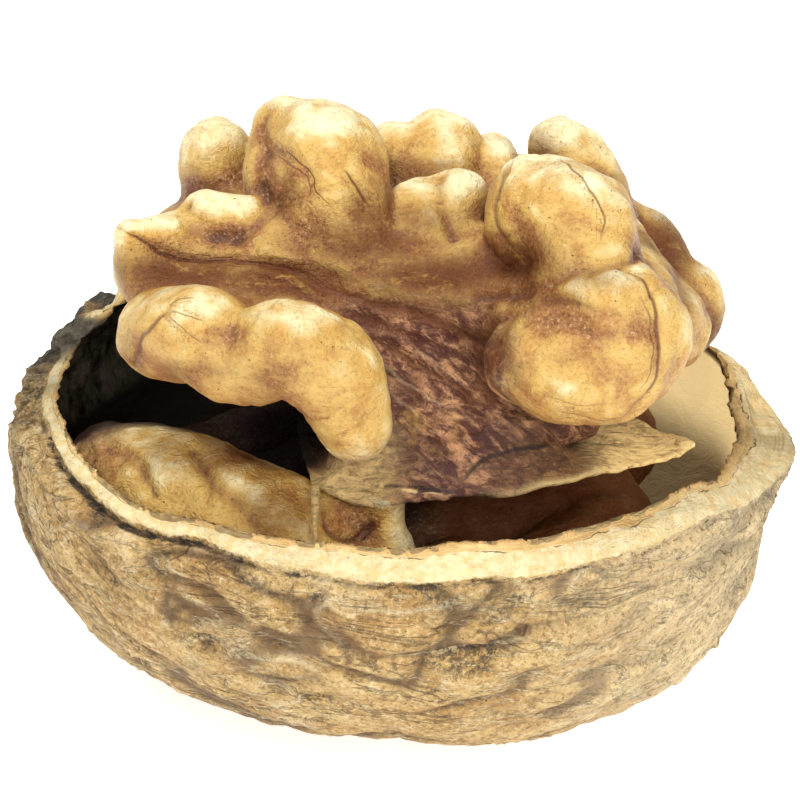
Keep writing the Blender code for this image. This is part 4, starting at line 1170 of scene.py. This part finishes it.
def kernel_material(colours):
    """Kernel skin: pale golden on top as a painted highlight, orange brown down the flanks and purple brown
    in folds as painted shade, and purple brown in the cleft.
    """
    material, tree = new_material("kernel_skin")
    place = place_in_mm(tree)
    hollow, valley, fold, cleft, under, brown, top, shade = (
        mark(tree, label) for label in ("hollow", "valley", "fold", "cleft", "under", "brown", "top", "shade")
    )
    # Painted light and shade: depth is high in hollows and valleys and low on tops that face up, so the skin
    # runs from a painted highlight through golden to brown and umber painted shade.
    cloud = (noise(place, 0.5, 3.0, 0.5, 0.7) - 0.5) * 0.9 - top * 0.4
    depth = hollow * 0.7 + valley * 0.35 + cloud
    skin = coat(
        mix(band(depth, -0.96, -0.44), colours.pale, colours.golden),
        (band(depth, -0.48, -0.06, 0.0, 0.92), colours.flank),
        # painted shade on the undersides
        (under * 0.55, colours.flank),
        (band(depth, -0.1, 0.34, 0.0, 0.9), colours.umber),
    )
    amber = band(noise(place, 0.5, 4.0, 0.6, 0.8), 0.44, 0.66)
    skin = mix(amber * 0.5, skin, colours.amber, "MULTIPLY")

    # Brown patches, mostly painted shade, with painted golden glints on them, and fine brown grain that is
    # thickest where the skin turns from golden to brown
    patchy = band(noise(place, 0.8, 4.0, 0.65), 0.25, 0.5, 0.55, 0.97)
    patched = noise(place_in_mm(tree, (0.6, 0.8, 1.2)), 0.8, 5.0, 0.74, 0.4)
    grain = noise(place, 4.6, 3.0, 0.8)
    thick = clamp(band(depth, -0.45, 0.1, 0.32, 1.0) + brown * 0.3)
    tinted = larger(cleft, brown)
    drawn = drawn_ink(tree, 1.2)
    dots = use(tree, "Specks", place, 1.9, 0.4, 0.13)
    in_cleft = use(tree, "Cleft skin", (*colours.purple, 1.0), (*colours.cleft_light, 1.0))
    skin = coat(
        skin,
        # painted shade: purple brown in the tight creases
        (band(fold, 0.03, 0.15, 0.0, 0.6), colours.purple),
        (cleft * patchy, in_cleft),
        (brown * band(patched, 0.36, 0.56, 0.84, 1.0), colours.umber),
        # painted glints: golden flecks on the brown patches
        (clamp(brown - cleft) * band(patched, 0.44, 0.36, 0.0, 0.3), colours.golden),
        (shade * 0.93, (0.008, 0.004, 0.003)),
        (band(grain, 0.53, 0.62) * (thick * 0.75), colours.vein),
        (band(grain, 0.44, 0.34) * (thick * 0.35) * (1.0 - tinted), colours.pale),
        (larger(drawn, 0.0), (0.15, 0.048, 0.018)),
        (larger(drawn * -1.0, 0.0), colours.pale),
        (dots * 0.85, colours.vein),
    )
    rough = band(noise(place, 2.2, 4.0, 0.6), 0.3, 0.7, 0.30, 0.48) + cleft * 0.06
    fibres = noise(place_in_mm(tree, (0.5, 0.9, 1.6)), 2.0, 3.0, 0.65, 0.6)
    height = grain * 0.45 + noise(place, 1.1, 4.0, 0.66, 1.0) + fibres * 0.5 - dots * 0.35 - drawn * 0.4
    inputs = {"Base Color": skin, "Roughness": rough, "Specular IOR Level": 0.5 - tinted * 0.3}
    return finish(material, inputs, height, 0.27)


def shell_material(colours):
    """Shell: fibrous tan wood with dark blotches outside, and pale layered wood on the broken rim."""
    material, tree = new_material("walnut_shell")
    place = place_in_mm(tree)
    along, up = (node(tree, "SeparateXYZ", {0: place}, axis) for axis in (0, 2))
    flow = node(tree, "Attribute", output="Vector", attribute_name="flow")
    long_flow = stretched(flow, (0.45, 1.0, 1.0))
    groove, ridge, dent, below, inward, inside, crack, stem, tip = (
        mark(tree, label)
        for label in ("groove", "ridge", "dent", "below", "inward", "inside", "crack", "stem", "tip")
    )
    fibre = noise(flow, 2.4, 4.0, 0.74, 0.5)
    grain = noise(place, 3.4, 4.0, 0.8)
    wrinkle = noise(flow, 0.85, 5.0, 0.68, 1.2)
    warm = band(noise(flow, 0.5, 4.0, 0.6, 0.6), 0.5, 0.64)
    some = noise(flow, 0.4, 2.0)
    bare = band(below, 0.1, 0.5)
    # Thin brown lines are painted shadow in the folds, and thin light lines are painted highlights on the
    # crests.
    folds = thin_lines(long_flow, 0.42, 0.022) * band(some, 0.42, 0.54) * bare
    crest_highlights = thin_lines(long_flow, 0.5, 0.03) * band(some, 0.56, 0.46) * bare

    # Dark blotches: in dents and grooves, in clouds and under the rim, broken up into speckles
    low = clamp(dent * 0.9 + groove * 0.45)
    low = clamp(low + band(noise(place, 0.55, 5.0, 0.7, 0.4), 0.57, 0.68, 0.0, 0.8))
    low = clamp(low + band(below, 1.6, 0.3) * band(noise(place, 0.3, 3.0, 0.6), 0.5, 0.6))
    blotch = low * band(noise(place, 0.2, 2.0, 0.5), 0.40, 0.56, 0.3, 1.0)
    blotch = blotch * band(noise(place, 3.0, 4.0, 0.82), 0.44, 0.56)
    dots = use(tree, "Specks", place, 1.7, 0.35, 0.14)
    torn = crack + (noise(flow, 1.7, 6.0, 0.78) - 0.5) * 2.4 * band(crack, 0.02, 0.2)
    strands = band(noise(long_flow, 2.6, 5.0, 0.75), 0.46, 0.66)
    wood = coat(
        mix(band(use(tree, "Mottle", flow, 0.55), 0.40, 0.60), colours.tan, colours.beige),
        (warm * 0.6, colours.orange),
        (band(wrinkle, 0.43, 0.32, 0.0, 0.75), colours.brown),
        (band(wrinkle, 0.55, 0.66, 0.0, 0.62), colours.light),
        (band(fibre, 0.54, 0.70, 0.0, 0.6), colours.brown),
        # browner in the grooves: partly the wood's own colour, partly painted shade
        (band(groove, 0.35, 0.95, 0.0, 0.85), colours.brown),
        # painted shadow in the folds, painted highlights on the crests and, in part, on the ridges
        (folds * 0.55, colours.brown),
        (crest_highlights * 0.45, colours.light),
        (ridge * 0.65, colours.light),
        (blotch * 0.9, colours.dark),
        # painted light: paler towards the tip
        (band(along, 4.0, 17.0, 0.0, 0.5), colours.light),
        (band(grain, 0.53, 0.62, 0.0, 0.6), colours.brown),
        (band(grain, 0.47, 0.37, 0.0, 0.6) * (1.0 - larger(groove, blotch)), colours.light),
        (dots * 0.75, colours.dark),
        # near-black torn band under the rim: the crack's dark fibres and painted shadow under the rim's edge
        (band(torn, 0.2, 0.6, 0.0, 0.95), mix(strands, (0.016, 0.012, 0.008), (0.26, 0.16, 0.075))),
    )

    # The cut face: cream, with a strip of orange tan at its inner edge and one thin wavering brown line
    sway = inward + (noise(place, 0.5, 4.0, 0.6) - 0.5) * 0.55
    layers = node(tree, "CombineXYZ", {0: inward * 4.0, 1: noise(place, 0.3, 3.0)})
    layers = noise(layers, 2.0, 4.0, 0.7)
    line = 1.0 - band(abs(sway - 0.68), 0.0, 0.03)
    cut = coat(
        mix(band(noise(place, 1.6, 5.0, 0.7), 0.38, 0.64, 0.0, 0.8), colours.cream, colours.straw),
        (tip * 0.25, colours.straw),
        (tip * band(layers, 0.38, 0.50, 0.85, 0.0), colours.strip),
        (band(sway, 0.66, 0.76, 0.0, 0.85), mix(band(layers, 0.42, 0.6), colours.strip, colours.straw)),
        (line * band(noise(place, 0.8, 3.0), 0.42, 0.56), (0.13, 0.05, 0.018)),
        (band(grain, 0.56, 0.68, 0.0, 0.4), colours.strip),
    )
    ragged = below + (noise(place, 1.8, 4.0, 0.7) - 0.5) * 0.5 - tip * 0.7

    # The wall inside is painted darker downwards and towards the stem end, painted shade deep in the hollow,
    # and at the stem itself the shell is charred.
    stains = band(noise(place, 0.22, 4.0, 0.55, 0.8), 0.48, 0.72)
    lining = coat(
        mix(stains * 0.5, colours.lining, colours.lining_brown),
        (band(up, 13.5, 10.0, 0.0, 0.8), colours.lining_brown),
        (band(below, -2.7, -2.2, 0.0, 0.75), colours.brown),
        (band(along, 9.0, 0.0, 0.0, 0.9), (0.06, 0.035, 0.018)),
        (band(along, 0.0, -6.0, 0.0, 0.95), (0.008, 0.006, 0.004)),
    )
    rot = band(noise(place_in_mm(tree, (1.0, 1.0, 0.5)), 1.3, 6.0, 0.75), 0.35, 0.65)
    charred = mix(rot, (0.006, 0.007, 0.005), (0.15, 0.13, 0.09))
    whole = coat(
        mix(band(ragged, -0.04, 0.06), cut, wood),
        (inside, lining),
        (band(stem, 0.25, 0.6, 0.0, 0.97), charred),
    )

    # Painted light: a glow on the wall inside near the tip, which lies in shade
    painted_glow = inside * band(along, 8.0, 14.0, 0.0, 0.62) * (band(up, 10.0, 14.0) * band(below, -2.2, -2.7))
    material.cycles.emission_sampling = "NONE"
    height = fibre + grain * 0.6 + wrinkle * 2.2 + (crest_highlights - folds) * 0.7 - dots * 0.4
    inputs = {
        "Base Color": whole,
        "Roughness": band(fibre, 0.3, 0.7, 0.62, 0.85) - inside * 0.28,
        "Specular IOR Level": 0.35,
        "Emission Color": (0.95, 0.70, 0.32, 1.0),
        "Emission Strength": painted_glow,
    }
    return finish(material, inputs, height * (1.0 - inside * 0.75), 0.32)


def partition_material(colours):
    """Papery brown with paler worn fibres, purple brown where it joins the cleft, pale at tip and edge, with
    a painted glow on the tip.
    """
    material, tree = new_material("papery_partition")
    place = place_in_mm(tree)
    edge, flap, skin, shade = (mark(tree, label) for label in ("edge", "flap", "skin", "shade"))
    fibre = noise(place_in_mm(tree, (0.5, 1.3, 1.3)), 2.2, 6.0, 0.72, 1.0)
    grain = noise(place, 4.2, 4.0, 0.78)
    drawn = drawn_ink(tree, 1.5)
    in_cleft = use(tree, "Cleft skin", (*colours.purple, 1.0), (*colours.cleft_light, 1.0))
    paper = coat(
        mix(band(use(tree, "Mottle", place, 0.5), 0.40, 0.60), colours.dark, colours.brown),
        (band(fibre, 0.48, 0.66, 0.0, 0.85), colours.pale),
        (edge * 0.8, colours.flap),
        (flap * 0.9, mix(band(fibre, 0.30, 0.5), colours.pale, colours.flap)),
        (skin, in_cleft),
        (shade, (0.012, 0.006, 0.004)),
        (band(grain, 0.54, 0.64, 0.0, 0.7) * (1.0 - flap * 0.7), colours.dark),
        (use(tree, "Hair lines", place, 0.7, 0.012) * 0.35, colours.dark),
        (larger(drawn, 0.0), (0.02, 0.010, 0.006)),
        (larger(drawn * -1.0, 0.0), colours.flap),
    )
    # Painted light: the tip and fin glow, so they stay light where they lie in shade.
    material.cycles.emission_sampling = "NONE"
    inputs = {
        "Base Color": paper,
        "Roughness": band(fibre, 0.3, 0.7, 0.45, 0.7),
        "Specular IOR Level": 0.45,
        "Emission Color": (0.92, 0.60, 0.22, 1.0),
        "Emission Strength": flap * band(fibre, 0.35, 0.6, 0.05, 0.55),
    }
    return finish(material, inputs, fibre + grain * 0.4, 0.24)


# Settings, one group for each piece or kind of piece


def number(name, description, value, **more):
    return bpy.props.FloatProperty(name=name, description=description, default=value, **more)


def length(name, description, value_mm):
    return number(name, description, value_mm * MM, unit="LENGTH", precision=5)


def colour(name, description, value):
    return bpy.props.FloatVectorProperty(
        name=name, description=description, subtype="COLOR", size=3, min=0.0, max=1.0, default=value
    )


class WalnutShellSettings(bpy.types.PropertyGroup):
    relief: number("Relief", "How strong the grooves outside are", 1.0, min=0.0)
    tan: colour("Tan", "Main colour of the wood outside", (0.49, 0.295, 0.092))
    beige: colour("Beige", "Lighter patches outside", (0.70, 0.48, 0.195))
    orange: colour("Orange", "Warm patches outside", (0.50, 0.27, 0.085))
    # Light is also painted as highlights on the crests and ridges, and as painted light towards the tip.
    light: colour("Light", "Crests of the ridges and pale grain", (0.90, 0.73, 0.44))
    brown: colour("Brown", "Fibres and grooves", (0.165, 0.090, 0.038))
    dark: colour("Blotches", "Dark blotches in the hollows", (0.036, 0.034, 0.024))
    cream: colour("Cream", "Fresh wood of the broken rim", (0.94, 0.81, 0.49))
    straw: colour("Straw", "Darker wood of the rim", (0.86, 0.60, 0.24))
    strip: colour("Strip", "Strip along the rim's inner edge", (0.68, 0.38, 0.12))
    lining: colour("Lining", "Smooth wall inside", (0.92, 0.76, 0.44))
    # Lining brown also paints shade low on the wall inside.
    lining_brown: colour("Lining brown", "Stains on the wall inside", (0.42, 0.30, 0.15))


class WalnutKernelSettings(bpy.types.PropertyGroup):
    softness: length("Softness", "Over what length neighbouring folds melt into each other", 0.34)
    relief: number("Relief", "How strong the skin's wrinkles are", 1.0, min=0.0)
    upper_cell: length("Standing cell", "Size of the mesh's cells on the standing kernel", 0.2)
    lower_cell: length("Lying cell", "Size of the mesh's cells on the kernel in the shell", 0.24)
    # Pale is also the painted highlight on the tops, and flank the painted shade down the sides and
    # undersides.
    pale: colour("Pale", "Tops of the folds", (1.0, 0.88, 0.53))
    golden: colour("Golden", "Main colour of the skin", (0.67, 0.42, 0.108))
    amber: colour("Amber", "Warm patches, laid over the skin", (0.88, 0.68, 0.40))
    flank: colour("Flank", "Sides of the folds", (0.36, 0.150, 0.040))
    umber: colour("Umber", "Shaded brown patches above the cleft", (0.130, 0.040, 0.010))
    purple: colour("Purple", "Creases and the cleft", CLEFT_DARK)
    cleft_light: colour("Cleft light", "Lighter streaks in the cleft", CLEFT_LIGHT)
    vein: colour("Vein", "Veins and specks", (0.10, 0.034, 0.016))


class WalnutPartitionSettings(bpy.types.PropertyGroup):
    thickness: length("Thickness", "Thickness of the sheet", 0.55)
    crinkle: length("Crinkle", "Height of its crinkles", 0.16)
    dark: colour("Dark", "Darkest brown", (0.09, 0.038, 0.018))
    brown: colour("Brown", "Main brown", (0.27, 0.125, 0.045))
    pale: colour("Pale", "Worn fibres", (0.52, 0.30, 0.11))
    flap: colour("Flap", "Light flap at the pointed end", (0.96, 0.72, 0.32))
    purple: colour("Purple", "Darker skin where it joins the cleft", CLEFT_DARK)
    cleft_light: colour("Cleft light", "Lighter streaks there", CLEFT_LIGHT)


class WalnutStageSettings(bpy.types.PropertyGroup):
    elevation: number("Elevation", "Camera's angle above level", math.radians(27.0), subtype="ANGLE")
    distance: length("Distance", "Camera's distance from the nut", 200.0)
    view_width: length("View width", "Width of what the camera sees at the nut", 43.4)
    aim_height: length("Aim height", "Height that the camera looks at", AIM_HEIGHT - REST_DEPTH)
    key: number("Key light", "Power of the main light", 0.5, subtype="POWER")
    front: number("Front light", "Power of the light beside the camera", 0.3, subtype="POWER")
    top: number("Top light", "Power of the light overhead", 0.9, subtype="POWER")
    fill: number("Fill light", "Power of the second light", 0.5, subtype="POWER")
    surround: number("Surround", "Strength of the light from all round", 0.27)


# Pieces


def settings(context, label):
    return getattr(context.scene, "walnut_" + label)


def place_piece(obj, material, cad_node):
    """Gives a piece its material, hangs it under the body, and hides the CAD node it stands for."""
    obj.data.materials.append(material)
    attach(obj, BODY)
    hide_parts(cad_node)


class WALNUT_OT_shell(bpy.types.Operator):
    """Make the grooved half shell with its broken rim"""

    bl_idname = "walnut.shell"
    bl_label = "Half shell"

    def execute(self, context):
        given = settings(context, "shell")
        grid, marks = shell_grid(given.relief)
        points, faces = capped(grid)
        for label, values in marks.items():
            marks[label] = np.concatenate([values.ravel(), [values[0].mean(), values[-1].mean()]])
        shell = mesh_object("shell", points, faces, marks)
        flow = shell.data.attributes.new("flow", "FLOAT_VECTOR", "POINT")
        flow.data.foreach_set("vector", np.ascontiguousarray(along_the_nut(points), np.float32).ravel())
        place_piece(shell, shell_material(given), "shell_half")
        return {"FINISHED"}


class WALNUT_OT_kernel(bpy.types.Operator):
    """Make both halves of the lobed kernel"""

    bl_idname = "walnut.kernel"
    bl_label = "Kernel halves"

    def execute(self, context):
        given = settings(context, "kernel")
        skin = kernel_material(given)
        upper = ("kernel_standing", UPPER_FOLDS, given.upper_cell, above_partition, upper_marks)
        place_piece(grow_kernel(given, *upper), skin, "kernel_upper")
        lower = ("kernel_lying", LOWER_FOLDS, given.lower_cell, under_partition, lower_marks)
        place_piece(grow_kernel(given, *lower), skin, "kernel_lower")
        return {"FINISHED"}


class WALNUT_OT_partition(bpy.types.Operator):
    """Make the papery partition and its fin"""

    bl_idname = "walnut.partition"
    bl_label = "Partition"

    def execute(self, context):
        given = settings(context, "partition")
        thickness, crinkle = given.thickness / MM, given.crinkle / MM
        grid, share = partition_sheet(thickness, crinkle)
        points, faces = capped(grid)
        fin_points, fin_faces = capped(partition_fin(FIN_THINNER * thickness, crinkle))
        count = len(points)
        faces = faces + [tuple(count + i for i in face) for face in fin_faces]
        share = np.concatenate([share.ravel(), np.zeros(2 + len(fin_points))])
        points = np.vstack([points, fin_points])
        marks = partition_marks(points, share, count)
        upper_side = np.arange(len(points)) < grid.shape[0] // 2 * grid.shape[1]
        points[:, 2] -= np.where(upper_side, marks.pop("cut"), 0.0)
        marks["line_ink"] = np.where(upper_side, marks["line_ink"], 0.0)
        sheet = mesh_object("partition_sheet", points, faces, marks)
        place_piece(sheet, partition_material(given), "partition")
        return {"FINISHED"}


class WALNUT_OT_stage(bpy.types.Operator):
    """Make the floor, the lights and the camera"""

    bl_idname = "walnut.stage"
    bl_label = "Stage"

    def execute(self, context):
        given = settings(context, "stage")
        scene = context.scene
        turn = np.linspace(0, 2 * math.pi, FLOOR_CORNERS, endpoint=False)
        ring = np.column_stack([np.cos(turn), np.sin(turn), 0 * turn]) * FLOOR_RADIUS
        floor = mesh_object("floor", ring - ORIGIN_SHIFT, [tuple(range(FLOOR_CORNERS))])
        material, tree = new_material("pale_floor")
        white = (1.0, 1.0, 1.0, 1.0)
        looks = {"Roughness": 0.9, "Emission Color": white, "Emission Strength": 0.72}
        feed(tree.nodes["Principled BSDF"], {"Base Color": (0.88, 0.88, 0.88, 1.0), **looks})
        floor.data.materials.append(material)
        self.camera(scene, given)
        for name, place, size, tint in LIGHTS:
            self.light(scene, name, place, getattr(given, name), size, tint)
        scene.world = scene.world or bpy.data.worlds.new("surround")
        scene.world.use_nodes = True
        background = scene.world.node_tree.nodes["Background"]
        feed(background, {"Color": white, "Strength": given.surround})
        scene.view_settings.view_transform = "Standard"
        return {"FINISHED"}

    def camera(self, scene, given):
        """A camera straight in front of the nut, above it, looking at its middle."""
        data = bpy.data.cameras.new("camera")
        data.lens = data.sensor_width * given.distance / given.view_width
        data.clip_start = 0.005
        obj = bpy.data.objects.new("camera", data)
        level, rise = math.cos(given.elevation), math.sin(given.elevation)
        height = given.aim_height + given.distance * rise
        obj.location = (ORIGIN_SHIFT[0] * MM, -given.distance * level, height)
        obj.rotation_euler = (math.pi / 2 - given.elevation, 0, 0)
        scene.collection.objects.link(obj)
        scene.camera = obj

    def light(self, scene, name, place, power, size, tint):
        """A square soft light that faces the nut."""
        data = bpy.data.lights.new(name, "AREA")
        data.energy = power
        data.size = size
        data.color = tint
        obj = bpy.data.objects.new(name, data)
        obj.location = place
        away = obj.location.copy()
        away.z -= NUT_MIDDLE
        obj.rotation_euler = away.to_track_quat("Z", "Y").to_euler()
        scene.collection.objects.link(obj)


class WALNUT_PT_panel(bpy.types.Panel):
    """Lists the pieces and their settings"""

    bl_label = "Walnut"
    bl_idname = "WALNUT_PT_panel"
    bl_space_type = "VIEW_3D"
    bl_region_type = "UI"
    bl_category = "Walnut"

    def draw(self, context):
        for label in GROUPS:
            box = self.layout.box()
            box.operator("walnut." + label)
            given = settings(context, label)
            for key in given.__annotations__:
                box.prop(given, key)


GROUPS = {
    "shell": WalnutShellSettings,
    "kernel": WalnutKernelSettings,
    "partition": WalnutPartitionSettings,
    "stage": WalnutStageSettings,
}
CLASSES = (
    *GROUPS.values(),
    WALNUT_OT_shell,
    WALNUT_OT_kernel,
    WALNUT_OT_partition,
    WALNUT_OT_stage,
    WALNUT_PT_panel,
)


def register():
    for item in CLASSES:
        bpy.utils.register_class(item)
    for label, kind in GROUPS.items():
        setattr(bpy.types.Scene, "walnut_" + label, bpy.props.PointerProperty(type=kind))


def unregister():
    for label in GROUPS:
        delattr(bpy.types.Scene, "walnut_" + label)
    for item in reversed(CLASSES):
        bpy.utils.unregister_class(item)


def main():
    register()
    bpy.ops.walnut.shell()
    bpy.ops.walnut.kernel()
    bpy.ops.walnut.partition()
    bpy.ops.walnut.stage()
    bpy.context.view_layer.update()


if __name__ == "__main__":
    main()
